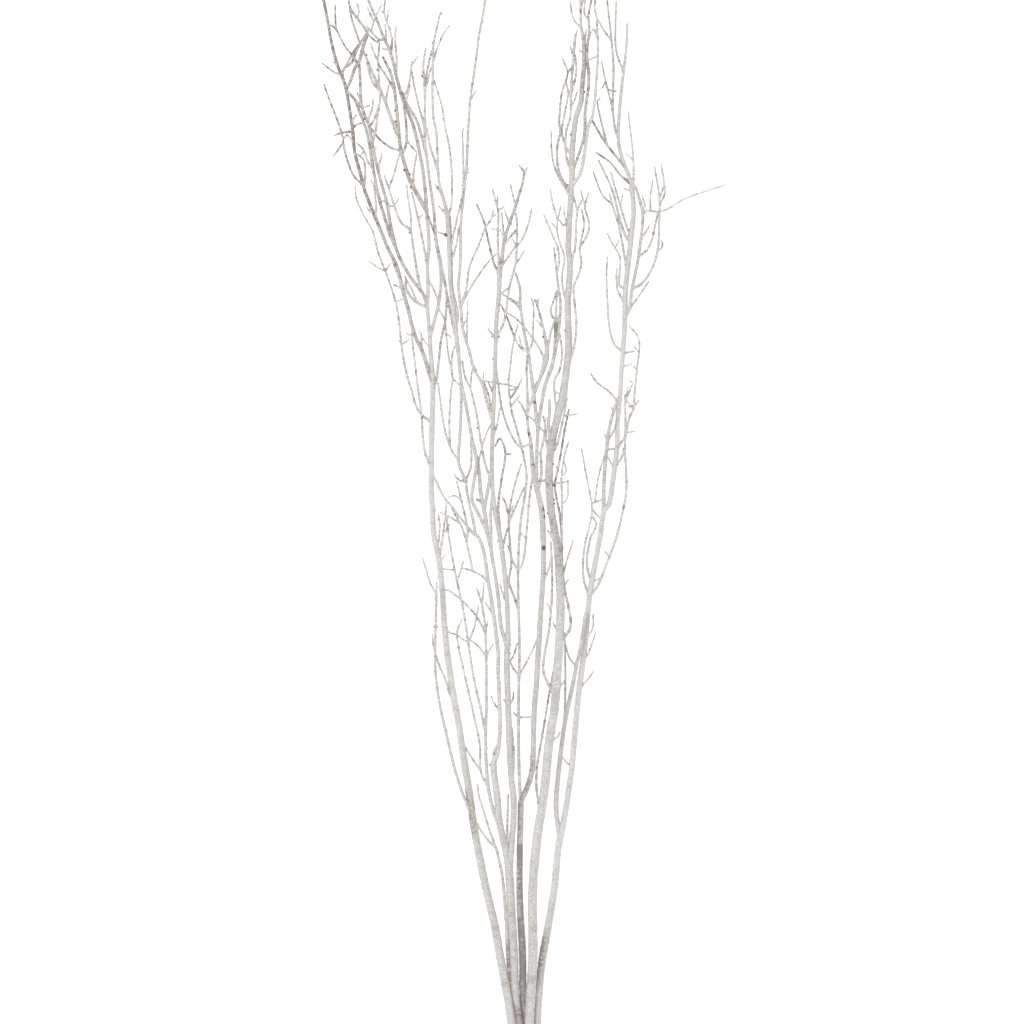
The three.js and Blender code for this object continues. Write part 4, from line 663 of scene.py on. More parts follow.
FAR_RIGHT_STEM = """
E - 9.2 2.4 0
  13.3,4 13,25 12.5,50 13.5,120 15.6,160 20,200 27,240 34.2,285 38.5,330 45,362 54.5,425 60,485
  64.6,528 70,568 76.4,635 83.2,675 89.3,708 93.5,735 100,745 104,771 109.2,813 109.6,840
  112.7,875 115.1,912 118,952 119.3,1000 125,1055 128.7,1096 125,1132 116.6,1155 111,1180
  113.2,1228 118.3,1273 121,1300 121.5,1321
F E 6 4 12
  40,342 36,378 38.6,418 46.3,480 53,512 61,552 66,575 71.6,614
Fa F 2.4 1.6 5
  46,478 47.2,530 46.5,590
Fb F 1.6 1.4 3
  60.5,550 52.5,558.5 47,576.5
Ea E 1.8 1.4 3
  55.3,434 51,432 45,438.5
Eb E 2 1.4 3
  64.2,524 73,532 81,543.5
Ec E 2 1.4 4
  69.2,562 73,561 83.5,589.5
Ed E 1.6 1.4 3
  71.4,582 79.8,594 80.7,611.5
Ee E 2.6 1.5 12
  75.9,630 68.8,656 69.8,691 78.7,730 78.6,745 72,780 67,809
Ef E 2.3 1.8 8
  78.5,648 73,673 77.3,703 84.3,719.5 78.9,730
Eg E 1.8 1.5 2
  92.2,727 84,732 79.8,738
H E 3 2.4 12
  76.6,635 86,646 97.3,674 109.3,707 119,750 120.5,768 118.7,812 119.3,845 118.5,873
Ha H 1.6 1.3 1
  100.1,681 94,688
Hb E 1.5 1.3 1
  79,650 88.7,655
Hc H 1.5 1.3 1
  119,828 131,831.5
I H 2.8 1.8 16
  118.9,822 124.2,848 129.3,859 130,874 133.2,907 136.2,932 134.3,945 124.5,957
Ia H 1.7 1.5 1
  118.6,869 128.5,861.5 134.5,867
Ib H 2 1.4 4
  118.7,865 126.3,885 127.7,888.7 124.7,892
Ic I 1.4 1.3 1
  133,906 128,910
J E 4.6 3.6 -1
  93.5,733 93.1,761 95.7,801 100.7,840 110.5,872
Ja J 1.8 1.5 1
  93.2,750 81,745.5
Jb Ja 1.5 1.3 2
  82.5,746 86.7,776 94,803
Jc J 1.6 1.5 2
  97.8,818 104,830 109.3,845
Jd J 2.2 1.5 8
  109,868 99,879.5 86,889 78.3,899.5
Je E 1.7 1.5 1
  106,785 98,801
Jf J 1.7 1.6 -1
  96.9,810 108,810.5
K E 2.4 2 3
  106.5,790 114.3,799 117.3,811
Ka E 2.6 2.4 13
  109.2,812 118,824 119,832
L E 2.4 1.6 16
  116.4,928 106,935.5 100,956 97.8,987 96.5,1020 97.8,1039
M E 2.4 1.8 8
  118.9,984 110,1000 108.4,1016 109,1025.5
N E 2.2 1.5 12
  119.4,1001 112,1007 112.7,1040 104,1055.5 98,1067.5
O E 2.8 2 10
  121.6,1022 116.6,1050 110.6,1080 103.4,1103 100.3,1117
Oa O 1.8 1.4 5
  103.1,1104 91.5,1115 80.7,1142.5
P E 3.4 1.8 10
  125.4,1059 119,1067 112.3,1086 103.4,1121 88,1154.5
Q E 2.3 1.7 14
  125.8,1063 119.2,1082 109,1116 102,1141.5
Qa Q 1.5 1.3 1
  113.5,1101 115.6,1113.5
R E 2.6 1.7 6
  125.3,1129 113,1139 101,1154 84.5,1165.5
S E 2.8 2.2 10
  119.5,1147 108.5,1160.5 93,1181 79,1205
Sa S 2.3 1.5 8
  97.5,1175 91,1200 85.5,1226.5 88,1230
T E 2.2 1.4 8
  111.2,1184 107,1193 103.3,1219 94.5,1256 91,1273.5
Ta T 2.6 2 10
  103.6,1217 104.5,1242 105,1269 102.5,1300 96,1361
Tb Ta 2 1.8 6
  102.5,1299 93,1313 86,1326
U E 2.2 1.7 6
  117,1261 108.2,1288 107.4,1316 108.2,1347
V E 2.8 1.5 7
  126.3,1119 129,1136 128.4,1163 124.6,1198 122.3,1216
Va V 1.5 1.3 1
  128.4,1158 120,1164
W E 3.8 3.2 10
  118.6,970 124,978 127,1001 133.7,1034 139.2,1075 140,1092 134,1117 129,1128
Wa W 1.8 1.5 6
  124.2,979 135,993 146.5,1010
Wb W 2.6 2 8
  135,1041 145,1049 151,1061 155.5,1081 158.7,1095
Wc W 2 1.8 8
  139.8,1094 147,1096 158.5,1094.5
Wd W 2 1.6 2
  139.2,1096 142.5,1102 139.6,1112.5
We Wc 2 1.5 4
  149.5,1096 149.3,1114 152,1131
Wf W 1.8 1.4 2
  137.2,1060 147.5,1077
X W 3.4 1.8 20
  127.4,1003 139,1009 151,1026 158,1049 159.6,1076 160,1110 154.5,1147.5
Xa X 1.8 1.5 2
  157.5,1047 163.5,1053 162.7,1060.5
Xb X 2.2 1.6 3
  159.9,1102 167,1118 167,1123.5
Xc X 2 1.6 4
  159.9,1110 165.5,1128 162.3,1150.5
Xd X 1.9 1.3 14
  159.8,1095 170,1098 190,1110 216,1119.5 239,1127
"""

# The leaders and a few shoots have rows of their own: y, height of the middle, width.
PROFILES: dict[str, dict[str, Rows]] = {
    "far_left": {
        "A": (
            (0, 15.6, 11), (25, 15.8, 10.9), (50, 18.4, 10.6), (80, 19, 10.4), (120, 17.6, 10),
            (170, 17.2, 9.8), (300, 16, 9.2), (500, 13, 7.9), (700, 6.2, 6.5), (820, 2.3, 6.5),
            (888, 2.3, 6.3), (940, 4, 4.5), (1000, 5.4, 4.3), (1100, 8, 4), (1250, 12, 3.6),
            (1364, 16, 2.8),
        ),
    },
    "left": {
        "B": (
            (0, 4.3, 9.6), (25, 4.3, 9.6), (50, 7.3, 9.6), (80, 7.5, 9.6), (120, 9, 9.6),
            (300, 26, 9.5), (320, 28, 8), (360, 33, 8), (432, 42, 7), (445, 43, 4.8),
            (500, 50, 4.5), (650, 66, 4.5), (709, 72, 4), (720, 73, 2.6), (776, 78, 2.4),
        ),
        "G": (
            (300, 26, 7), (560, 55, 7), (600, 60, 5.5), (700, 72, 5.5), (750, 78, 4.8),
            (850, 88, 4.8), (930, 95, 4.8), (985, 99, 5.5), (1025, 101.5, 5.5), (1035, 102, 2.8),
            (1121, 108, 2),
        ),
        "X": ((841, 87, 3.6), (985, 112, 3.4), (1366, 137, 2.6)),
        "Z": (
            (570, 56, 4.5), (760, 82, 3.8), (890, 100, 3.8), (940, 107, 5.2), (1090, 121, 5.2),
            (1140, 124, 3), (1333, 140, 2.2),
        ),
    },
    "middle": {
        "C": (
            (0, 3.95, 8.8), (25, 3.95, 8.8), (50, 7.1, 8.8), (80, 7.4, 8.8), (120, 9, 8.8),
            (250, 14, 7.6), (388, 24, 6.4), (565, 36, 6.5), (690, 44, 6), (705, 45, 7),
            (735, 47, 7), (800, 50, 5), (840, 53, 3), (927, 58, 2.2),
        ),
        "Ce": (
            (854, 54, 3.2), (895, 58, 4.2), (912, 60, 6.6), (926, 61, 5.4), (942, 62, 3.4),
            (987, 65, 2.4),
        ),
        "V": ((382, 24, 3.6), (810, 46, 2.6), (958.5, 56, 1.8)),
    },
    "right": {
        "D": (
            (0, 15.5, 11), (25, 15.6, 11), (50, 18.3, 10.9), (80, 18.6, 10.8), (120, 20, 10.8),
            (300, 32, 10.5), (500, 53, 10.2), (600, 63, 10), (700, 73, 9), (850, 85, 9),
            (950, 93, 8), (1050, 98, 7), (1150, 103, 6.8), (1220, 107, 6), (1280, 110, 5),
            (1320, 112, 3), (1354, 113, 2.4),
        ),
        "J": (
            (1138, 102, 2.6), (1208, 107, 2.6), (1276, 112, 3.4), (1290, 113, 3.6), (1306, 115, 3),
        ),
        "L": (
            (1142, 102.5, 2.8), (1187, 107, 3.4), (1215, 109, 3.6), (1286, 112, 3.2),
            (1360, 114, 2),
        ),
    },
    "far_right": {
        "E": (
            (0, 4.1, 9.2), (25, 4.1, 9.2), (50, 7.1, 9.1), (80, 7.2, 9.1), (120, 7.6, 9),
            (200, 8.2, 8.8), (330, 9.8, 8.2), (362, 9.9, 7.2), (425, 9.8, 7), (548, 8.7, 6.6),
            (700, 6.2, 6.2), (793, 3.9, 5.8), (840, 2.9, 5.5), (870, 2.4, 5.4), (900, 3.1, 5.4),
            (952, 5.4, 6), (1000, 7.9, 6), (1096, 13.5, 6), (1150, 17, 4.4), (1250, 24, 3.6),
            (1321, 29, 2.4),
        ),
    },
}


# What else shows on each stem. "ring" swells a shoot at the given y. "patch" makes a shoot barer from
# one y to another, by the next number, and more so towards its left side by the last one; some
# patches are painted shade, where a stem lies in the shade of others, and their last number paints
# that shade darker on one side. "knob", "bud", "spot" (a dark knob), "scar:SIZE" and "freckle:SIZE"
# sit on the nearest shoot, on the side where they show. "twig" is a short side twig between two
# places. A tone's line names its shoots.
FAR_LEFT_MARKS = """
dark R Ra Rb Rd Re Rf Rg Rh Ri Q Qd Qe Qf Qg Qj Qk Tg Td T Te L M D6 B1 B5 D4 D8 E1
ring A 168 235 308 360 400 450 497 592 641 685
patch A 342 402 0.34 0.5
patch A 440 1060 -0.2
freckle:9 -39,234.5 -37,226 -26.4,168.5 -146.4,1231 -193,1206
freckle:15 -139,1135
patch A 1085 1364 0.2
patch Q 1060 1358 0.25
knob -112,737 -110.5,596 -106,596
bud -91.5,472 -113,541 -105,543 -112.5,687 -184,1058 -226,1273 -242,1330 -92,719
spot -105,725 -192.5,1206 -138.5,1070 -138.5,1124 -139,1139 -144,1145 -157,1215 -157,1203
spot -190,1284 -179,1264 -124.5,1258
twig -170,1333>-173,1335 -138.5,1071>-142,1078 -165,1290>-171,1290
"""
# The patches on B from y 100 to 145 and on F from y 100 to 215 are painted shade, where the far left stem
# lies over them.
LEFT_MARKS = """
dark Gc Gd Gf Gg Gh Gj Gn W Zb Yb
ring B 210 432
ring G 988 1025
patch B 100 145 0.45
patch F 100 215 0.6
freckle:9 -18,253 -16,228
patch B 370 760 -0.16
knob -76,772 -20,565 -20,575 -33.5,700 -40.5,918 -111,1296 -62,909 -59,905 -64,905 -71.5,1142
knob -70.5,1146 -76.5,1125.5 -51,1322.5 -17,1079.5
bud -44,450 -30,764 -27,1015 -101,1204 -96,1205
spot -41,750 -34.5,945 -58,749.5 -103,1333 -57.2,834
scar:6 -10,392
scar:8 -97,1067
twig -34.2,1074>-40,1074 -34.2,1074>-30.5,1072 -33,1097>-27,1100.5 -36.5,943>-41,945
twig -40.5,1041>-36.7,1043 -40.5,1088.5>-36,1092.5 -26,1060>-30,1071 -77,957>-72,965
"""
# The three patches on C are painted shade: the middle stem lies at the back of the bunch under the others,
# and they darken it, more so at its right side in the first and at its left side in the last.
MIDDLE_MARKS = """
dark Vo
ring C 168 238
patch C 252 335 0.56 -0.35
patch C 108 250 0.72 0.12
patch C 318 440 0.38 0.9
freckle:6 -4,254
scar:4 -8,283 8,792
scar:5 10.5,867
scar:7 2,827 22.5,737 23.5,729 21.3,692.5
patch O 945 965 0.6
spot 22,944
bud -22,892 -13,492
twig -19.8,734>-16,741 -20.5,880>-12,883.5 -21,886>-11,884.5 -7,985>-18.5,990.5 8,886>14,891.5
twig -6.5,709.5>-2,704 13.5,984>14.5,988.5 8.7,985>10.3,990
"""
RIGHT_MARKS = """
dark Da Dd Dk Do H Gc
brown L
pale K
ring D 178 282 330 394 460 525 648 715
patch D 320 630 -0.14
freckle:12 5.8,174 9,235
freckle:7 26,800 30.5,770 33,742 37,716 33,690 39.5,668 31,655 25,783 38,700
patch D 496 522 0.25
patch D 648 838 0.26 -0.15
patch D 1235 1310 0.3
spot 30,748 32,745 29,765 31,810 32,792 25,733 49,952 56,1115 69,1238 57,1187
bud 27.5,394 22,462 46,690.5 61.5,1067
knob 25,846
twig 50,772>50.2,762 50.2,762>50,753 45,745>48,749 34.6,879>40,876.5 38,784>36,790 66,1286>64,1290
"""
# The first patch on E is painted shade: it darkens the stem's foot where it lies behind the right stem,
# more so at its left side.
FAR_RIGHT_MARKS = """
dark R S
pale L V Va Xd
ring E 235
patch E 168 227 0.46 0.6
freckle:7 24.7,232
scar:4 15.6,192
patch E 270 1300 -0.22
bud 112.7,896 114,966 152.7,1068 117,1089.5
knob 140,1093
twig 104.3,1239>100,1241 104.4,1240>107.5,1239.5 94.8,1251>91,1243 118.5,872>122.3,883
twig 115,909.5>125.2,911.8 116.5,926>130,927.5 108.2,1053>111,1061 126.3,1120>117,1123
twig 104,856>102.5,860 97.5,819>93.5,828.5 129.7,858>123,861.5 135.5,926>130,932.5
"""


class Slot(Enum):
    """The record's slots, one for each finish; shaded_bark is painted_bark made greyer and barer, as
    painted shade.
    """

    PAINTED_BARK = "painted_bark"
    SHADED_BARK = "shaded_bark"
    TWINE = "twine"


class Tone(Enum):
    """How much more bark than usual shows through the paint of a shoot."""

    PALE = -0.16
    PAINTED = 0.0
    DARK = 0.32
    BROWN = 0.36


class Scar(Enum):
    """How dark a scar of each kind is, of the darkest bark."""

    SCAR = 1.0
    FRECKLE = 0.4


class Growth(Enum):
    """A small growth on a shoot: its reach as a share of the shoot's width, its length, how far it
    leans out, in degrees, and how dark it is."""

    BUD = (0.3, 1.9, 28.0, 0.45)
    KNOB = (0.36, 1.5, 65.0, 0.3)
    SPOT = (0.4, 1.3, 65.0, 0.9)
    TIP = (0.48, 1.7, 0.0, 0.5)

    def __init__(self, reach: float, length: float, lean: float, dark: float) -> None:
        """Keeps the growth's four numbers by name.

        Args:
            reach: Its reach.
            length: Its length.
            lean: Its lean.
            dark: Its darkness.
        """
        self.reach = reach
        self.length = length
        self.lean = math.radians(lean)
        self.dark = dark


@dataclass(frozen=True)
class Tube:
    """How a shoot's tube is cut into rings, and how it ends.

    Attributes:
        sides: Pairs of a width and the sides of the shoots that are at least so wide at their widest.
        step: The distance between rings, as a share of the root's width.
        steps: The shortest and the longest distance between rings.
        least_rings: The fewest lengths that a tube is cut into.
        curve_steps: The number of short pieces between two points of a route.
        early_climb: How steeply a shoot climbs at its root, against its average climb.
        bevel: The length of the bevel at a leader's cut end.
        cut_width: The share of the width that is left at that end.
        tip_width: The share of the width that is left at the tip.
        tip_reach: How far the middle of the tip stands out, as a share of the width.
        bumps: The height of the bark's bumps, as a share of the width, and their length.
        grain_shift: The most that a shoot's patterns are moved along it, so that no two are alike.
    """

    sides: tuple[tuple[float, int], ...] = ((8.0, 18), (5.0, 14), (3.0, 10), (0.0, 8))
    step: float = 0.6
    steps: tuple[float, float] = (1.6, 2.2)
    least_rings: int = 4
    curve_steps: int = 10
    early_climb: float = 1.5
    bevel: float = 0.35
    cut_width: float = 0.95
    tip_width: float = 0.72
    tip_reach: float = 0.3
    bumps: tuple[tuple[float, float], ...] = ((0.042, 24.0), (0.07, 5.0), (0.07, 2.1))
    grain_shift: float = 400.0


@dataclass(frozen=True)
class Swell:
    """How a shoot swells at its rings, and widens into a collar where it leaves its parent.

    Attributes:
        reach: A ring's reach along the shoot, as a share of the width.
        least_reach: The shortest such reach.
        on_twig: How much a twig swells at a ring, as a share of its width.
        less_on_trunk: How much less of its width a thick stem swells.
        widths: The widths of a twig and of a thick stem, between which the swelling changes.
        collar_start: Where the collar starts to narrow, as a share of half the parent's width.
        collar_length: How far past the parent's side it ends, in widths of the shoot.
        collar_fit: The collar's width, as a share of the parent's.
        collar_most: The most that the collar adds, as a share of the shoot's width.
    """

    reach: float = 0.3
    least_reach: float = 1.4
    on_twig: float = 0.13
    less_on_trunk: float = 0.09
    widths: tuple[float, float] = (2.5, 7.0)
    collar_start: float = 0.7
    collar_length: float = 1.7
    collar_fit: float = 0.85
    collar_most: float = 0.55


@dataclass(frozen=True)
class Coat:
    """The coat of paint, and the painted shade on the sides of the shoots. How bare a place is goes from
    below 0, under thick paint, to 1 at bare bark.

    Attributes:
        depth: What the paint adds to every shoot's width.
        twig_depth: What it adds besides to the finest twigs.
        fill_widths: The widths between which that fades out.
        slim_widths: The widths between which a shoot stops having a twig's coat and a twig's painted
            shade.
        usual: How bare a thick stem is.
        less_on_twig: How much less bare a twig is on average.
        dash: The length of the bare and painted dashes along a twig.
        dash_depth: How much they differ.
        to_tip: How much barer a shoot is at its tip than at its root.
        fade: The distance over which a patch begins and ends.
        least: How bare the thickest paint is.
        below: How much barer, and so darker, the sides and the lower side of every shoot are, as painted
            shade.
        twig_below: How much barer the sides and the lower side of a twig are besides, as painted shade.
    """

    depth: float = 0.5
    twig_depth: float = 0.22
    fill_widths: tuple[float, float] = (1.8, 5.0)
    slim_widths: tuple[float, float] = (1.8, 6.5)
    usual: float = 0.1
    less_on_twig: float = 0.02
    dash: float = 2.6
    dash_depth: float = 1.1
    to_tip: float = 0.12
    fade: float = 9.0
    least: float = -0.4
    below: float = 0.1
    twig_below: float = 0.2

    def slimness(self, width: float) -> float:
        """Goes from 0 for a thick stem to 1 for the finest twigs."""
        return 1 - ease(*self.slim_widths, width)

    def over(self, width: float) -> float:
        """Gives the width with the paint that fills out the finest twigs."""
        return width + self.twig_depth * (1 - ease(*self.fill_widths, width))

    def underside(self, width: float, turn: float) -> float:
        """Gives the painted shade at an angle from a shoot's left side: the less that faces up, the barer.
        """
        return (self.below + self.twig_below * self.slimness(width)) * (1 - max(math.sin(turn), 0.0))


@dataclass(frozen=True)
class Stain:
    """How dark the marks on the bark are, and how far they reach along a shoot.

    Attributes:
        twig_ring: A ring's darkness and reach on a twig.
        stem_ring: The same on a thicker shoot.
        fork: The same where a shoot leaves its parent.
        scar_core: The share of a scar's size that is fully dark.
        scar_edge: The share of its size at which a scar has faded out.
        lowest: The height against the shoot's middle below which no scar shows.
    """

    twig_ring: tuple[float, float] = (0.55, 1.2)
    stem_ring: tuple[float, float] = (0.12, 3.0)
    fork: tuple[float, float] = (0.3, 1.2)
    scar_core: float = 0.25
    scar_edge: float = 0.6
    lowest: float = -0.5


TUBE = Tube()
SWELL = Swell()
COAT = Coat()
STAIN = Stain()

# A shoot that is narrower than this is a twig.
SLIM = 3.4


def clamp(value: float, low: float, high: float) -> float:
    """Holds a value between two others."""
    return min(max(value, low), high)


def bell(distance: float, reach: float) -> float:
    """A bump that is 1 at no distance and fades over its reach."""
    return math.exp(-((distance / reach) ** 2))


def ease(low: float, high: float, value: float) -> float:
    """Goes smoothly from 0 at the low value to 1 at the high one."""
    share = clamp((value - low) / (high - low), 0.0, 1.0)
    return share * share * (3 - 2 * share)


def closest(values: Iterable[float], wanted: float) -> int:
    """Gives the number of the value that is closest to the wanted one."""
    return min(enumerate(values), key=lambda numbered: abs(numbered[1] - wanted))[0]


def read_place(word: str) -> Vector:
    """Reads a place of the routes, which is written as x,y."""
    x, y = map(float, word.split(","))
    return Vector((x, y, 0.0))


def value_at(rows: Rows, y: float, column: int) -> float:
    """Reads a profile's column on the straight line between its rows.

    Args:
        rows: The profile's rows, which begin with their y.
        y: The place to read at.
        column: 1 for the height of the middle, 2 for the width.

    Returns:
        The value.
    """
    if y <= rows[0][0]:
        return rows[0][column]
    for low, high in zip(rows, rows[1:]):
        if y <= high[0]:
            share = (y - low[0]) / (high[0] - low[0])
            return low[column] + (high[column] - low[column]) * share
    return rows[-1][column]


def smooth_line(points: Sequence[Vector], steps: int) -> list[Vector]:
    """Bends a polyline into a curve that still passes through all its points.

    Args:
        points: The polyline's points, of which no two neighbours are alike.
        steps: The number of short pieces between two of them.

    Returns:
        The curve's points.
    """
    ends = [points[0], *points, points[-1]]
    curve = [points[0].copy()]
    for before, start, end, after in zip(ends, ends[1:], ends[2:], ends[3:]):
        span = (end - start).length
        into = (start - before).length
        out = (after - end).length
        leave = start + (end - before) * (span / (span + into)) / 3
        reach = end - (after - start) * (span / (span + out)) / 3
        curve += interpolate_bezier(start, leave, reach, end, steps + 1)[1:]
    return curve


def lengths_of(line: Sequence[Vector]) -> list[float]:
    """Measures a line.

    Args:
        line: The line's points.

    Returns:
        The distance of each point from the line's start.
    """
    walked = [0.0]
    for before, after in zip(line, line[1:]):
        walked.append(walked[-1] + (after - before).length)
    return walked


def points_at(curve: Sequence[Vector], walked: Sequence[float], stops: Sequence[float]) -> list[Vector]:
    """Finds the points of a curve at some distances from its start.

    Args:
        curve: The curve's points.
        walked: Their distances from its start.
        stops: The distances to stop at, the shortest first.

    Returns:
        The points at the stops.
    """
    line = []
    i = 1
    for stop in stops:
        while i < len(walked) - 1 and walked[i] < stop:
            i += 1
        share = (stop - walked[i - 1]) / (walked[i] - walked[i - 1])
        line.append(curve[i - 1].lerp(curve[i], clamp(share, 0.0, 1.0)))
    return line


def under_eye(point: Vector) -> Vector:
    """Moves a point so that it shows in its route's place from the eye."""
    scale = (EYE_HEIGHT - point.z) / (EYE_HEIGHT - EYE_LEVEL)
    return Vector((EYE.x + (point.x - EYE.x) * scale, EYE.y + (point.y - EYE.y) * scale, point.z))


def to_frame(point: Vector) -> Vector:
    """Takes a point of the routes to the frame, in metres and not below the floor."""
    return Vector(((point.x - ORIGIN.x) * MM, (point.y - ORIGIN.y) * MM, max(point.z, 0.0) * MM))


@dataclass(frozen=True)
class Mark:
    """A scar's place along the shoot and across it, its size and its kind."""

    along: float
    across: float
    size: float
    kind: Scar


@dataclass(frozen=True)
class Patch:
    """A barer stretch of a shoot, which on some stems is painted shade: its ends along the shoot, how
    much barer it is, and by which share more so at the left side and less at the right, which paints
    that shade darker on one side."""

    start: float
    end: float
    more: float
    lean: float


@dataclass
class Shoot:
    """One tapering shoot on its route, from its root, which is sunk in its parent, to its tip.

    Attributes:
        name: Its name.
        parent: The name of the shoot that it grows from.
        root_width: Its width at the root.
        tip_width: Its width at the tip.
        climb: How far it climbs from root to tip.
        points: The points of its route.
        rows: Its profile, if it has its own heights and widths.
        tone: How much bark shows through its paint.
        line: The middle of each ring of its tube.
        along: How far each ring lies from the root.
        widths: The width at each ring.
        rings: Where it is swollen, as distances from the root.
        scars: Its scars.
        patches: Its barer stretches, some of them painted shade.
        parent_width: The parent's width at its root, or 0 for a leader.
    """

    name: str
    parent: str
    root_width: float
    tip_width: float
    climb: float
    points: list[Vector]
    rows: Rows | None = None
    tone: Tone = Tone.PAINTED
    line: list[Vector] = field(default_factory=list)
    along: list[float] = field(default_factory=list)
    widths: list[float] = field(default_factory=list)
    rings: list[float] = field(default_factory=list)
    scars: list[Mark] = field(default_factory=list)
    patches: list[Patch] = field(default_factory=list)
    parent_width: float = 0.0

    def grow(self, parent: "Shoot | None") -> None:
        """Gives the shoot its heights, its smooth middle line and its widths.

        Args:
            parent: The shoot that it grows from, or None for a leader.
        """
        flat = lengths_of(self.points)
        root = self.points[0].copy()
        if parent:
            place = parent.nearest(root)
            root = parent.line[place].copy()
            self.parent_width = parent.widths[place]
        for point, walked in zip(self.points, flat):
            share = walked / flat[-1]
            rise = root.z + self.climb * share * (TUBE.early_climb - (TUBE.early_climb - 1) * share)
            point.z = value_at(self.rows, point.y, 1) if self.rows else rise
        if parent:
            self.points[0] = root
        curve = smooth_line(self.points, TUBE.curve_steps)
        walked = lengths_of(curve)
        step = clamp(TUBE.step * self.width_at(curve[0], 0.0), *TUBE.steps)
        count = max(round(walked[-1] / step), TUBE.least_rings)
        self.along = [walked[-1] * i / count for i in range(count + 1)]
        if self.parent == NO_PARENT:
            self.along.insert(1, TUBE.bevel)
        self.line = points_at(curve, walked, self.along)
        total = self.along[-1]
        self.widths = [self.width_at(p, s / total) for p, s in zip(self.line, self.along)]

    def width_at(self, point: Vector, share: float) -> float:
        """Gives the width at a point of the shoot.

        Args:
            point: The point.
            share: How far it lies from the root, as a share of the way to the tip.

        Returns:
            The width with its paint.
        """
        if self.rows:
            return value_at(self.rows, point.y, 2) + COAT.depth
        return self.root_width + (self.tip_width - self.root_width) * share + COAT.depth

    def nearest(self, point: Vector) -> int:
        """Gives the number of the ring nearest to a point, seen from above."""
        flat = point.xy
        return min(range(len(self.line)), key=lambda i: (self.line[i].xy - flat).length_squared)

    def level(self, y: float) -> int:
        """Gives the number of the ring nearest to a y."""
        return closest((point.y for point in self.line), y)

    def axes(self, ring: int) -> tuple[Vector, Vector, Vector]:
        """Gives the directions at one of the shoot's rings.

        Args:
            ring: The ring's number.

        Returns:
            The directions along the shoot, to its left and up from it.
        """
        before = self.line[max(ring - 1, 0)]
        after = self.line[min(ring + 1, len(self.line) - 1)]
        along = (after - before).normalized()
        side = Vector((0, 0, 1)).cross(along).normalized()
        return along, side, along.cross(side)

    def swelling(self, along: float, width: float) -> float:
        """Gives how much thicker the shoot is than its width.

        Args:
            along: The distance from the root.
            width: The shoot's width there.

        Returns:
            The thickness as a share of the width.
        """
        reach = max(SWELL.least_reach, SWELL.reach * width)
        swell = SWELL.on_twig - SWELL.less_on_trunk * ease(*SWELL.widths, width)
        more = sum(swell * bell(along - ring, reach) for ring in self.rings)
        if self.parent_width:
            half = self.parent_width / 2
            collar = 1 - ease(SWELL.collar_start * half, half + SWELL.collar_length * width, along)
            wider = SWELL.collar_fit * self.parent_width / width - 1
            more += collar * clamp(wider, 0.0, SWELL.collar_most)
        return 1 + more

    def bareness(self, along: float, width: float, left: float = 0.0) -> float:
        """Gives how much bark shows, painted shade included: below 0 the paint is thicker than usual, at 1
        there is none.

        Args:
            along: The distance from the root.
            width: The shoot's width there.
            left: The place across the shoot, from -1 at its right edge to 1 at its left.

        Returns:
            The bareness.
        """
        slim = COAT.slimness(width)
        dash = noise.noise(Vector((along / COAT.dash, self.line[0].x, self.line[0].y)))
        bare = COAT.usual - COAT.less_on_twig * slim + COAT.dash_depth * slim * dash + self.tone.value
        bare += COAT.to_tip * along / self.along[-1]
        for patch in self.patches:
            begun = ease(patch.start - COAT.fade, patch.start + COAT.fade, along)
            ended = ease(patch.end - COAT.fade, patch.end + COAT.fade, along)
            inside = begun * (1 - ended)
            bare += patch.more * inside * (1 + patch.lean * left)
        return clamp(bare, COAT.least, 1.0)

    def darkness(self, along: float, across: float, height: float) -> float:
        """Gives how dark the surface is from rings and scars, from 0 to 1.

        Args:
            along: The distance from the root.
            across: The place across the shoot, from its middle.
            height: The place above the shoot's middle.

        Returns:
            The darkness.
        """
        line, reach = STAIN.twig_ring if self.widths[0] < SLIM else STAIN.stem_ring
        dark = sum(line * bell(along - ring, reach) for ring in self.rings)
        if self.parent_width:
            line, reach = STAIN.fork
            dark += line * bell(along - self.parent_width / 2, reach)
        if height > STAIN.lowest:
            for scar in self.scars:
                away = math.hypot(along - scar.along, across - scar.across) / scar.size
                dark += scar.kind.value * (1 - ease(STAIN.scar_core, STAIN.scar_edge, away))
        return min(dark, 1.0)


def read_shoots(text: str, profiles: dict[str, Rows]) -> dict[str, Shoot]:
    """Reads a stem's routes and grows each shoot from its parent.

    Args:
        text: The stem's routes.
        profiles: The rows of the shoots that have their own.

    Returns:
        The shoots by name.
    """
    shoots: dict[str, Shoot] = {}
    for line in text.strip().split("\n"):
        words = line.split()
        if line.startswith("  "):
            shoot.points += [read_place(word) for word in words]
        else:
            name, parent, *numbers = words
            shoot = Shoot(name, parent, *map(float, numbers), [])
            shoot.rows = profiles.get(name)
            shoots[name] = shoot
    for shoot in shoots.values():
        shoot.grow(shoots.get(shoot.parent))
    return shoots


@dataclass(frozen=True)
class Bulge:
    """How the small growths are shaped: like eggs, narrower at the tip and sunk in their shoot.

    Attributes:
        reaches: The least and the most distance from a growth's middle to its side.
        lengths: The least and the most that its length varies to.
        sunk: How deep it is sunk, as a share of its reach.
        segments: Its faces round the middle.
        rings: Its faces from end to end.
        taper: How much narrower it is at its tip.
        stand: How far its middle stands out, as a share of its length.
        barer: How much barer than its shoot it is.
        shades: The least and the most of its darkness that a spot on it has.
        grain_step: How far its patterns move from one ring of the shoot to the next.
    """

    reaches: tuple[float, float] = (0.55, 1.5)
    lengths: tuple[float, float] = (0.85, 1.2)
    sunk: float = 0.3
    segments: int = 7
    rings: int = 5
    taper: float = 0.45
    stand: float = 0.45
    barer: float = 0.1
    shades: tuple[float, float] = (0.75, 1.0)
    grain_step: float = 7.0


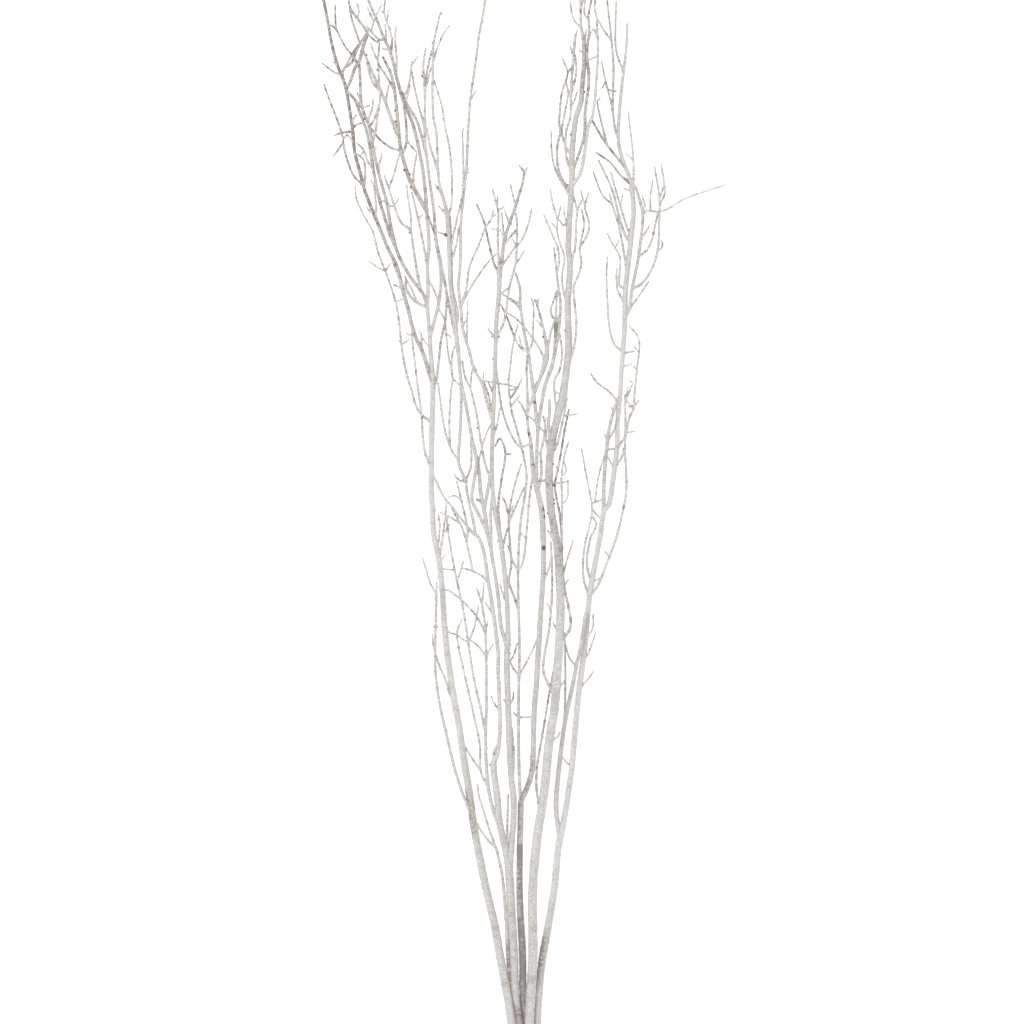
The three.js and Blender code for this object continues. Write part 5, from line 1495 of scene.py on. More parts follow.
@dataclass(frozen=True)
class Habit:
    """Where every shoot has its rings and buds, besides the marked ones.

    Attributes:
        twig_spacing: The least and the most distance between two rings of a twig.
        stem_spacing: The same on a thicker shoot.
        first: The same between the parent's side and the first ring.
        tip_clear: The length at the tip that has no ring.
        sway: The most that a bud is turned away from its row.
        floor_clear: How far above the floor a shoot has buds.
        bare_foot: The y below which the stems were cleaned of buds.
        ring_chance: How often a thicker shoot with marked rings swells at a usual one too.
        pair_chance: How often two buds sit at one ring.
        bud_sizes: The least and the most size of a bud.
        tip_chance: How often a thin tip ends in a bud.
        tip_sizes: The least and the most size of that bud.
        marked_turn: How far a marked growth is turned up from the shoot's side.
        marked_size: Its size.
    """

    twig_spacing: tuple[float, float] = (17.0, 38.0)
    stem_spacing: tuple[float, float] = (34.0, 70.0)
    first: tuple[float, float] = (6.0, 16.0)
    tip_clear: float = 4.0
    sway: float = 0.5
    floor_clear: float = 1.0
    bare_foot: float = 150.0
    ring_chance: float = 0.5
    pair_chance: float = 0.3
    bud_sizes: tuple[float, float] = (0.65, 1.05)
    tip_chance: float = 0.75
    tip_sizes: tuple[float, float] = (0.8, 1.15)
    marked_turn: float = 0.25
    marked_size: float = 1.25


BULGE = Bulge()
HABIT = Habit()


@dataclass(frozen=True)
class Sprout:
    """A growth on a shoot.

    Attributes:
        shoot: The shoot that carries it.
        ring: The number of the ring that it sits at.
        turn: Its place round the shoot, as an angle from the shoot's left side.
        kind: Its kind.
        size: Its size against the usual.
    """

    shoot: Shoot
    ring: int
    turn: float
    kind: Growth
    size: float


@dataclass
class Wood:
    """A bmesh that collects the shoots and growths of one stem, with two values on each vertex.

    "rod" is a vertex's place on its shoot as if the shoot were a straight rod, in metres, which
    patterns follow. "coat" says how bare, how dark and how freshly cut the surface is; its
    bareness holds the painted shade too.

    Attributes:
        name: The piece's name.
        seed: The seed of its chance.
        whole: The bmesh of all the parts that are done.
    """

    name: str
    seed: int = 0
    whole: BMesh = field(default_factory=bmesh.new)

    def __post_init__(self) -> None:
        """Makes the mesh and the source of chance, and starts the first part."""
        self.mesh = bpy.data.meshes.new(self.name)
        self.chance = random.Random(self.seed)
        self.start_part(self.whole)
        self.start_part(bmesh.new())

    def start_part(self, bm: BMesh) -> None:
        """Gives an empty bmesh the two values' layers, and fills it next.

        Args:
            bm: The empty bmesh.
        """
        bm.verts.layers.float_vector.new("rod")
        bm.verts.layers.float_vector.new("coat")
        self.bm = bm
        self.rod = bm.verts.layers.float_vector["rod"]
        self.coat = bm.verts.layers.float_vector["coat"]

    def end_part(self) -> None:
        """Adds what is made so far to the whole, and starts the next part."""
        for face in self.bm.faces:
            face.smooth = True
        self.bm.to_mesh(self.mesh)
        self.bm.free()
        self.whole.from_mesh(self.mesh)
        self.start_part(bmesh.new())

    def add_shoot(self, shoot: Shoot) -> None:
        """Adds a shoot's tube, closed at both ends.

        Args:
            shoot: The shoot, grown.
        """
        last = len(shoot.line) - 1
        sides = next(count for width, count in TUBE.sides if max(shoot.widths) >= width)
        centres = [under_eye(point) for point in shoot.line]
        axes = [shoot.axes(ring) for ring in range(last + 1)]
        thick = [COAT.over(w) / 2 * shoot.swelling(s, w) for w, s in zip(shoot.widths, shoot.along)]
        thick[last] *= TUBE.tip_width
        if shoot.parent == NO_PARENT:
            thick[0] *= TUBE.cut_width
        shift = self.chance.uniform(0.0, TUBE.grain_shift)
        for vert in self.rod_verts(sides, last):
            ring = round(vert.co.z * last)
            edge = math.hypot(vert.co.x, vert.co.y)
            turn = math.atan2(vert.co.y, vert.co.x)
            width, walked = shoot.widths[ring], shoot.along[ring]
            across = math.cos(turn) * width / 2 * edge
            height = math.sin(turn) * width / 2 * edge
            rod = Vector((across, height, walked + shift))
            rough = 1 + sum(depth * noise.noise(rod / size) for depth, size in TUBE.bumps)
            along, side, up = axes[ring]
            out = (side * math.cos(turn) + up * math.sin(turn)) * edge
            place = centres[ring] + out * thick[ring] * rough
            if ring == last and edge < 0.5:
                place += along * width * TUBE.tip_reach
            vert.co = to_frame(place)
            vert[self.rod] = rod * MM
            cut = 1.0 if ring == 0 and shoot.parent == NO_PARENT else 0.0
            # Painted shade: the sides and the lower side of every shoot are barer, and so darker.
            bare = shoot.bareness(walked, width, math.cos(turn)) + COAT.underside(width, turn)
            vert[self.coat] = (bare, shoot.darkness(walked, across, height), cut)
        self.end_part()

    def rod_verts(self, sides: int, lengths: int) -> list[BMVert]:
        """Adds a closed rod from 0 to 1 along Z, cut into even lengths.

        Args:
            sides: The rod's sides.
            lengths: The number of lengths.

        Returns:
            The rod's vertices.
        """
        made = bmesh.ops.create_cone(
            self.bm, cap_ends=True, cap_tris=True, segments=sides, radius1=1, radius2=1, depth=1
        )["verts"]
        bmesh.ops.translate(self.bm, verts=made, vec=(0, 0, 0.5))
        long_edges = {
            edge
            for vert in made
            for edge in vert.link_edges
            if abs(edge.verts[0].co.z - edge.verts[1].co.z) > 0.5
        }
        bmesh.ops.subdivide_edges(self.bm, edges=list(long_edges), cuts=lengths - 1)
        return list(self.bm.verts)

    def add_growth(self, sprout: Sprout) -> None:
        """Adds a bud or a knob on a shoot.

        Args:
            sprout: Its place, kind and size.
        """
        shoot, ring, kind = sprout.shoot, sprout.ring, sprout.kind
        along, side, up = shoot.axes(ring)
        out = side * math.cos(sprout.turn) + up * math.sin(sprout.turn)
        width = shoot.widths[ring] * shoot.swelling(shoot.along[ring], shoot.widths[ring])
        point = along * math.cos(kind.lean) + out * math.sin(kind.lean)
        reach = clamp(kind.reach * width, *BULGE.reaches) * sprout.size
        length = kind.length * sprout.size * self.chance.uniform(*BULGE.lengths)
        foot = under_eye(shoot.line[ring]) + out * (width / 2 - BULGE.sunk * reach) * math.sin(kind.lean)
        made = bmesh.ops.create_uvsphere(
            self.bm, u_segments=BULGE.segments, v_segments=BULGE.rings, radius=1
        )["verts"]
        turned = point.to_track_quat("Z", "Y").to_matrix()
        bare = min(shoot.bareness(shoot.along[ring], width) + BULGE.barer, 1.0)
        for vert in made:
            narrow = reach * (1 - BULGE.taper * ease(0.0, 1.0, vert.co.z))
            local = Vector((vert.co.x * narrow, vert.co.y * narrow, vert.co.z * length))
            vert[self.rod] = (local + Vector((0, 0, ring * BULGE.grain_step))) * MM
            vert[self.coat] = (bare, kind.dark * self.chance.uniform(*BULGE.shades), 0.0)
            vert.co = to_frame(foot + turned @ (local + Vector((0, 0, BULGE.stand * length))))
        self.end_part()

    def finish(self, material: bpy.types.Material) -> bpy.types.Object:
        """Turns all the parts into one object and dresses it.

        Args:
            material: The object's finish.

        Returns:
            The object, at the origin.
        """
        self.bm.free()
        self.whole.to_mesh(self.mesh)
        self.whole.free()
        self.mesh.materials.append(material)
        piece = bpy.data.objects.new(self.name, self.mesh)
        bpy.context.scene.collection.objects.link(piece)
        return piece


@dataclass
class Stem:
    """One branched stem of the bunch, with its rings, buds, knobs, scars and side twigs.

    Attributes:
        side: Its place in the bunch.
        routes: The routes of its shoots.
        marks: What else shows on it.
        seed: The seed of its chance.
        slot: The record's slot of its finish.
        twig_width: The width of its short side twigs at their root.
        twig_taper: The share of that width at their tip.
        twig_climb: How far they climb.
        twig_bend: How far their middle lies from the straight line between their ends.
        shoots: Its shoots by name, of which the first is its leader.
    """

    side: str
    routes: str
    marks: str
    seed: int
    slot: Slot = Slot.PAINTED_BARK
    twig_width: float = 1.7
    twig_taper: float = 0.8
    twig_climb: float = 2.0
    twig_bend: tuple[float, float, float] = (0.4, -0.4, 0.0)
    shoots: dict[str, Shoot] = field(default_factory=dict)

    @property
    def node(self) -> str:
        """Gives the CAD node that the stem stands for."""
        return f"stem_{self.side}"

    @property
    def leader(self) -> Shoot:
        """Gives the shoot that all the others grow from."""
        return next(iter(self.shoots.values()))

    def build(self, material: bpy.types.Material) -> bpy.types.Object:
        """Builds and dresses the whole stem as one piece.

        Args:
            material: Its finish.

        Returns:
            The piece.
        """
        wood = Wood(f"birch_{self.side}", self.seed)
        self.shoots = read_shoots(self.routes, PROFILES[self.side])
        sprouts = self.read_marks()
        for shoot in self.shoots.values():
            sprouts += self.usual_sprouts(shoot, wood.chance)
        for shoot in self.shoots.values():
            wood.add_shoot(shoot)
        for sprout in sprouts:
            wood.add_growth(sprout)
        return wood.finish(material)

    def find(self, place: Vector) -> tuple[Shoot, int, float]:
        """Finds the shoot and the ring nearest to a place, seen from above.

        Args:
            place: The place on the routes' plane.

        Returns:
            The shoot, the ring, and how far to the left of its middle the place lies.
        """
        found = [(shoot, shoot.nearest(place)) for shoot in self.shoots.values()]
        shoot, ring = min(found, key=lambda pair: (pair[0].line[pair[1]].xy - place.xy).length)
        side = shoot.axes(ring)[1]
        return shoot, ring, (place.xy - shoot.line[ring].xy).dot(side.xy)

    def read_marks(self) -> list[Sprout]:
        """Reads the stem's marks and puts them on its shoots.

        Returns:
            The buds and knobs to add.
        """
        sprouts = []
        for line in self.marks.strip().split("\n"):
            kind, *words = line.split()
            if kind.upper() in Tone.__members__:
                for name in words:
                    self.shoots[name].tone = Tone[kind.upper()]
            elif kind == "ring":
                shoot = self.shoots[words[0]]
                shoot.rings += [shoot.along[shoot.level(float(y))] for y in words[1:]]
            elif kind == "patch":
                self.add_patch(words[0], *map(float, words[1:]))
            elif kind == "twig":
                for number, word in enumerate(words):
                    self.add_twig(f"{line}{number}", word)
            elif ":" in kind:
                look, size = kind.split(":")
                for word in words:
                    self.add_scar(word, Scar[look.upper()], float(size))
            else:
                sprouts += [self.marked_sprout(word, Growth[kind.upper()]) for word in words]
        return sprouts

    def add_patch(self, name: str, start: float, end: float, more: float, lean: float = 0.0) -> None:
        """Makes a stretch of a shoot barer, which on some stems is painted shade.

        Args:
            name: The shoot's name.
            start: The stretch's lower y.
            end: Its upper y.
            more: How much barer it is.
            lean: By which share more so at its left side; on a shade patch this paints one side darker.
        """
        shoot = self.shoots[name]
        first, last = (shoot.along[shoot.level(y)] for y in (start, end))
        shoot.patches.append(Patch(first, last, more, lean))

    def add_scar(self, word: str, kind: Scar, size: float) -> None:
        """Puts a scar on the nearest shoot.

        Args:
            word: The scar's place.
            kind: Its kind.
            size: Its size.
        """
        shoot, ring, across = self.find(read_place(word))
        shoot.scars.append(Mark(shoot.along[ring], across, size, kind))

    def marked_sprout(self, word: str, kind: Growth) -> Sprout:
        """Finds where a marked growth sits.

        Args:
            word: The growth's place.
            kind: Its kind.

        Returns:
            The growth, on the nearest shoot and on the side where it shows.
        """
        shoot, ring, across = self.find(read_place(word))
        turn = HABIT.marked_turn if across >= 0 else math.pi - HABIT.marked_turn
        return Sprout(shoot, ring, turn, kind, HABIT.marked_size)

    def add_twig(self, name: str, word: str) -> None:
        """Grows a short side twig.

        Args:
            name: The twig's name.
            word: Its two ends, as x,y>x,y, of which the first is on a shoot.
        """
        root, tip = map(read_place, word.split(">"))
        parent = self.find(root)[0]
        middle = (root + tip) / 2 + Vector(self.twig_bend)
        tip_width = self.twig_width * self.twig_taper
        twig = Shoot(name, parent.name, self.twig_width, tip_width, self.twig_climb, [root, middle, tip])
        twig.grow(parent)
        self.shoots[name] = twig

    def usual_sprouts(self, shoot: Shoot, chance: random.Random) -> list[Sprout]:
        """Sets the rings and the buds that every shoot has along its way.

        Args:
            shoot: The shoot.
            chance: The stem's source of chance.

        Returns:
            The buds to add.
        """
        sprouts = []
        slim = max(shoot.widths) < SLIM
        spacing = HABIT.twig_spacing if slim else HABIT.stem_spacing
        walked = shoot.parent_width / 2 + chance.uniform(*HABIT.first)
        turn = chance.uniform(-HABIT.sway, HABIT.sway)
        while walked < shoot.along[-1] - HABIT.tip_clear:
            ring = closest(shoot.along, walked)
            point = shoot.line[ring]
            high = point.z - shoot.widths[ring] / 2 > HABIT.floor_clear
            if slim or not shoot.rings or chance.random() < HABIT.ring_chance:
                shoot.rings.append(walked)
            if high and point.y > HABIT.bare_foot:
                for way in (0.0, math.pi) if chance.random() < HABIT.pair_chance else (math.pi,):
                    at = turn + way + chance.uniform(-HABIT.sway, HABIT.sway)
                    sprouts.append(Sprout(shoot, ring, at, Growth.BUD, chance.uniform(*HABIT.bud_sizes)))
            turn += math.pi
            walked += chance.uniform(*spacing)
        if shoot.tip_width < SLIM and chance.random() < HABIT.tip_chance:
            size = chance.uniform(*HABIT.tip_sizes)
            sprouts.append(Sprout(shoot, len(shoot.line) - 1, 0.0, Growth.TIP, size))
        return sprouts


class Value:
    """A number in a material, on which Python's arithmetic adds Math nodes."""

    def __init__(self, shader: "Shader", socket: bpy.types.NodeSocket) -> None:
        """Keeps the material and the socket that gives the number."""
        self.shader = shader
        self.socket = socket

    def __add__(self, other: "Value | float") -> "Value":
        """Adds."""
        return self.shader.maths("ADD", self, other)

    def __radd__(self, other: float) -> "Value":
        """Adds to a number."""
        return self.shader.maths("ADD", other, self)

    def __sub__(self, other: "Value | float") -> "Value":
        """Takes away."""
        return self.shader.maths("SUBTRACT", self, other)

    def __rsub__(self, other: float) -> "Value":
        """Is taken from a number."""
        return self.shader.maths("SUBTRACT", other, self)

    def __mul__(self, other: "Value | float") -> "Value":
        """Multiplies."""
        return self.shader.maths("MULTIPLY", self, other)

    def __rmul__(self, other: float) -> "Value":
        """Multiplies a number."""
        return self.shader.maths("MULTIPLY", other, self)


Given = Value | Sequence[float] | float


@dataclass(frozen=True)
class Pattern:
    """A soft noise in a material.

    Attributes:
        scale: How fine it is, in spots a metre.
        stretch: How much finer it is in each of the three directions.
        detail: How many finer noises are added to it.
        roughness: How strong these are.
    """

    scale: float
    stretch: tuple[float, float, float] = (1.0, 1.0, 1.0)
    detail: float = 2.0
    roughness: float = 0.55


@dataclass(frozen=True)
class Layer:
    """Where a colour shows over those below it.

    Attributes:
        weights: How much each of the layer's patterns counts.
        start: The sum of the patterns from which the colour shows.
        full: The sum from which it shows fully.
        cover: How much of what is below it then hides.
    """

    weights: tuple[float, ...]
    start: float
    full: float
    cover: float = 1.0


class Shader:
    """A material that is built from Python expressions."""

    def __init__(self, name: str) -> None:
        """Starts a material with only its principled shader and its output.

        Args:
            name: The material's name.
        """
        self.material = bpy.data.materials.new(name)
        self.material.use_nodes = True
        self.tree = self.material.node_tree
        self.surface = self.tree.nodes["Principled BSDF"]

    def node(
        self,
        kind: str,
        settings: dict[str, Any],
        inputs: dict[str | int, Given],
        output: str | int = 0,
    ) -> Value:
        """Adds a node.

        Args:
            kind: The node's type.
            settings: Its own settings, which are set first.
            inputs: The values or links of its sockets.
            output: The output to use.

        Returns:
            The output as a value.
        """
        made = self.tree.nodes.new(kind)
        for name, setting in settings.items():
            setattr(made, name, setting)
        for name, given in inputs.items():
            self.feed(made.inputs[name], given)
        return Value(self, made.outputs[output])

    def feed(self, socket: bpy.types.NodeSocket, given: Given) -> None:
        """Links a value to a socket, or sets the socket.

        Args:
            socket: The socket.
            given: The value, or the number, vector or colour to set.
        """
        if isinstance(given, Value):
            self.tree.links.new(given.socket, socket)
        else:
            socket.default_value = given

    def maths(self, operation: str, *terms: "Value | float") -> Value:
        """Adds a Math node."""
        return self.node("ShaderNodeMath", {"operation": operation}, dict(enumerate(terms)))

    def step(self, value: Value, low: float, high: float) -> Value:
        """Goes smoothly from 0 where a value is low to 1 where it is high."""
        smooth = {"interpolation_type": "SMOOTHSTEP"}
        return self.node("ShaderNodeMapRange", smooth, {"Value": value, "From Min": low, "From Max": high})

    def shown(self, layer: Layer, *patterns: Value) -> Value:
        """Gives where a layer shows, from 0 to 1."""
        parts = [pattern * weight for pattern, weight in zip(patterns, layer.weights)]
        return self.step(sum(parts[1:], parts[0]), layer.start, layer.full)

    def mix(self, share: "Value | float", first: Value | Colour, second: Value | Colour) -> Value:
        """Mixes two colours.

        Args:
            share: How much of the second colour there is.
            first: The first colour.
            second: The second colour.

        Returns:
            The mixed colour.
        """
        colours = [given if isinstance(given, Value) else (*given, 1.0) for given in (first, second)]
        inputs = {0: share, 6: colours[0], 7: colours[1]}
        return self.node("ShaderNodeMix", {"data_type": "RGBA"}, inputs, 2)

    def attribute(self, name: str) -> Value:
        """Reads a vector that the piece's vertices hold."""
        return self.node("ShaderNodeAttribute", {"attribute_name": name}, {}, "Vector")

    def parts(self, vector: Value) -> list[Value]:
        """Gives the three parts of a vector."""
        return [self.node("ShaderNodeSeparateXYZ", {}, {0: vector}, part) for part in range(3)]

    def cloud(self, vector: Value, pattern: Pattern) -> Value:
        """Adds a soft noise.

        Args:
            vector: The place that it depends on.
            pattern: What it looks like.

        Returns:
            The noise, about 0.5 on average.
        """
        stretched = self.node(
            "ShaderNodeVectorMath", {"operation": "MULTIPLY"}, {0: vector, 1: pattern.stretch}
        )
        inputs = {
            "Vector": stretched,
            "Scale": pattern.scale,
            "Detail": pattern.detail,
            "Roughness": pattern.roughness,
        }
        return self.node("ShaderNodeTexNoise", {}, inputs)

    def relief(self, height: Value, depth: float, under: Value | None = None) -> Value:
        """Turns a height into a bump.

        Args:
            height: The height, from 0 to 1.
            depth: How high 1 is, in metres.
            under: Another bump that this one lies on.

        Returns:
            The bump's normal.
        """
        inputs = {"Height": height, "Distance": depth, "Strength": 1.0}
        if under:
            inputs["Normal"] = under
        return self.node("ShaderNodeBump", {}, inputs)

    def dress(self, colour: Given, roughness: Given, normal: Value | None) -> bpy.types.Material:
        """Joins the last values to the shader.

        Args:
            colour: The surface's colour.
            roughness: Its roughness.
            normal: Its bump, if it has one.

        Returns:
            The material.
        """
        self.feed(self.surface.inputs["Base Color"], colour)
        self.feed(self.surface.inputs["Roughness"], roughness)
        if normal:
            self.feed(self.surface.inputs["Normal"], normal)
        return self.material


@dataclass(frozen=True)
class BarkFinish:
    """Thin matt paint over bark: nearly white where it is whole, with bark in its gaps.

    Attributes:
        name: The material's name.
        paint: The whole paint's colour.
        dusty: Its colour where it is dusty.
        rosy: The colour of small specks where the bark tints it.
        bark: The bare bark's colour.
        scar: The colour of scars, rings and buds.
        wood: The colour of a freshly cut end.
        heart: The colour of its growth rings.
        wear: How much barer than usual the bark is everywhere, used as painted shade on the middle stem.
        mottle: The finest stains, which are also the fine relief.
        grain: The pattern of the specks.
        grit: The pattern that breaks up the edges of scars.
        streak: The pattern of long gaps in the paint.
        blotch: The pattern of large gaps, which is also the coarse relief.
        pore: The pattern of the pores.
        dust: Where the paint is dusty, by mottle, blotch and bareness.
        specks: Where specks show, by grain, bareness and darkness.
        worn: Where the bark shows, by bareness, blotch and streak; the bareness holds the painted shade.
        pores: Where pores show.
        marked: Where scars, rings and buds show, by darkness and grit.
        cut: Where the end is freshly cut.
        years: Where the cut end has growth rings.
        year_scale: How close these rings are.
        year_sway: How uneven they are.
        pore_height: How high a pore stands against the coarse relief.
        grit_height: How high grit stands against the fine relief.
        scar_depth: How deep a scar lies in it.
        coarse_depth: The depth of the coarse relief, in metres.
        fine_depth: The depth of the fine relief, in metres.
        roughness: The paint's roughness.
        speck_roughness: How much rougher a speck is.
    """

    name: str
    paint: Colour = (0.76, 0.75, 0.73)
    dusty: Colour = (0.60, 0.595, 0.57)
    rosy: Colour = (0.47, 0.39, 0.365)
    bark: Colour = (0.25, 0.21, 0.185)
    scar: Colour = (0.13, 0.08, 0.055)
    wood: Colour = (0.62, 0.50, 0.36)
    heart: Colour = (0.40, 0.28, 0.17)
    wear: float = 0.0
    mottle: Pattern = Pattern(430.0, detail=3.0, roughness=0.6)
    grain: Pattern = Pattern(680.0, roughness=0.6)
    grit: Pattern = Pattern(1900.0)
    streak: Pattern = Pattern(300.0, (0.6, 0.6, 1.0))
    blotch: Pattern = Pattern(150.0, (1.0, 1.0, 0.5), 3.0)
    pore: Pattern = Pattern(620.0, (0.5, 0.5, 1.3), 1.0)
    dust: Layer = Layer((0.6, 0.4, 0.35), 0.4, 0.66)
    specks: Layer = Layer((1.0, 0.1, 0.3), 0.53, 0.65, 0.78)
    worn: Layer = Layer((1.0, 1.0, 1.5), 1.63, 2.25, 0.86)
    pores: Layer = Layer((1.0,), 0.62, 0.7, 0.22)
    marked: Layer = Layer((1.0, 0.5), 0.73, 1.1, 0.85)
    cut: Layer = Layer((1.0,), 0.4, 0.6)
    years: Layer = Layer((1.0,), 0.2, 1.0, 0.5)
    year_scale: float = 9000.0
    year_sway: float = 2.0
    pore_height: float = 0.3
    grit_height: float = 0.5
    scar_depth: float = 0.5
    coarse_depth: float = 0.0004
    fine_depth: float = 0.0003
    roughness: float = 0.74
    speck_roughness: float = 0.14

    def material(self) -> bpy.types.Material:
        """Builds the material.

        Returns:
            The material.
        """
        shader = Shader(self.name)
        rod = shader.attribute("rod")
        bare, dark, cut = shader.parts(shader.attribute("coat"))
        mottle = shader.cloud(rod, self.mottle)
        grain = shader.cloud(rod, self.grain)
        grit = shader.cloud(rod, self.grit)
        streak = shader.cloud(rod, self.streak)
        blotch = shader.cloud(rod, self.blotch)
        dust = shader.shown(self.dust, mottle, blotch, bare)
        specks = shader.shown(self.specks, grain, bare, dark)
        # The bark shows where the paint is thin, and also as painted shade on the shoots' sides and lower
        # sides and in the shade patches.
        worn = shader.shown(self.worn, bare + self.wear, blotch, streak)
        pores = shader.shown(self.pores, shader.cloud(rod, self.pore))
        marked = shader.shown(self.marked, dark, grit)
        colour = shader.mix(dust * self.dust.cover, self.paint, self.dusty)
        colour = shader.mix(specks * self.specks.cover, colour, self.rosy)
        colour = shader.mix(worn * self.worn.cover, colour, self.bark)
        colour = shader.mix(pores * self.pores.cover, colour, self.bark)
        colour = shader.mix(marked * self.marked.cover, colour, self.scar)
        colour = shader.mix(shader.shown(self.cut, cut), colour, self.sawn(shader, rod, streak))
        coarse = shader.relief(blotch + pores * self.pore_height, self.coarse_depth)
        fine = mottle + grit * self.grit_height - marked * self.scar_depth
        normal = shader.relief(fine, self.fine_depth, coarse)
        return shader.dress(colour, self.roughness + specks * self.speck_roughness, normal)

    def sawn(self, shader: Shader, rod: Value, streak: Value) -> Value:
        """Gives the colour of a cut end, with its growth rings.

        Args:
            shader: The material.
            rod: The place on the straight rod.
            streak: The pattern that makes the rings uneven.

        Returns:
            The colour.
        """
        across, height, _ = shader.parts(rod)
        radius = shader.maths("SQRT", across * across + height * height)
        wave = shader.maths("SINE", radius * self.year_scale + streak * self.year_sway)
        return shader.mix(shader.shown(self.years, wave) * self.years.cover, self.wood, self.heart)


@dataclass(frozen=True)
class TwineFinish:
    """Undyed two-ply twine with fibres along its strands.

    Attributes:
        name: The material's name.
        pale: The colour of its pale fibres.
        dark: The colour between them.
        fibre: The pattern of the fibres, which is also their relief.
        stain: The pattern of its paler and darker lengths.
        fibres: Where pale fibres show, by fibre and stain.
        roughness: Its roughness.
        depth: The depth of the relief, in metres.
    """

    name: str
    pale: Colour = (0.56, 0.43, 0.27)
    dark: Colour = (0.30, 0.20, 0.11)
    fibre: Pattern = Pattern(3600.0, (1.0, 1.0, 0.12), 3.0)
    stain: Pattern = Pattern(160.0)
    fibres: Layer = Layer((0.7, 0.3), 0.36, 0.66)
    roughness: float = 0.9
    depth: float = 0.0002

    def material(self) -> bpy.types.Material:
        """Builds the material.

        Returns:
            The material.
        """
        shader = Shader(self.name)
        rod = shader.attribute("rod")
        fibre = shader.cloud(rod, self.fibre)
        fibres = shader.shown(self.fibres, fibre, shader.cloud(rod, self.stain))
        colour = shader.mix(fibres, self.dark, self.pale)
        return shader.dress(colour, self.roughness, shader.relief(fibre, self.depth))


@dataclass(frozen=True)
class FloorFinish:
    """A plain white floor that stays bright under the bunch.

    Attributes:
        name: The material's name.
        colour: Its colour.
        glow: How strongly it shines by itself.
        roughness: Its roughness.
    """

    name: str
    colour: Colour = (0.88, 0.88, 0.88)
    glow: float = 0.55
    roughness: float = 1.0

    def material(self) -> bpy.types.Material:
        """Builds the material.

        Returns:
            The material.
        """
        shader = Shader(self.name)
        shader.feed(shader.surface.inputs["Emission Color"], (1.0, 1.0, 1.0, 1.0))
        shader.feed(shader.surface.inputs["Emission Strength"], self.glow)
        return shader.dress((*self.colour, 1.0), self.roughness, None)


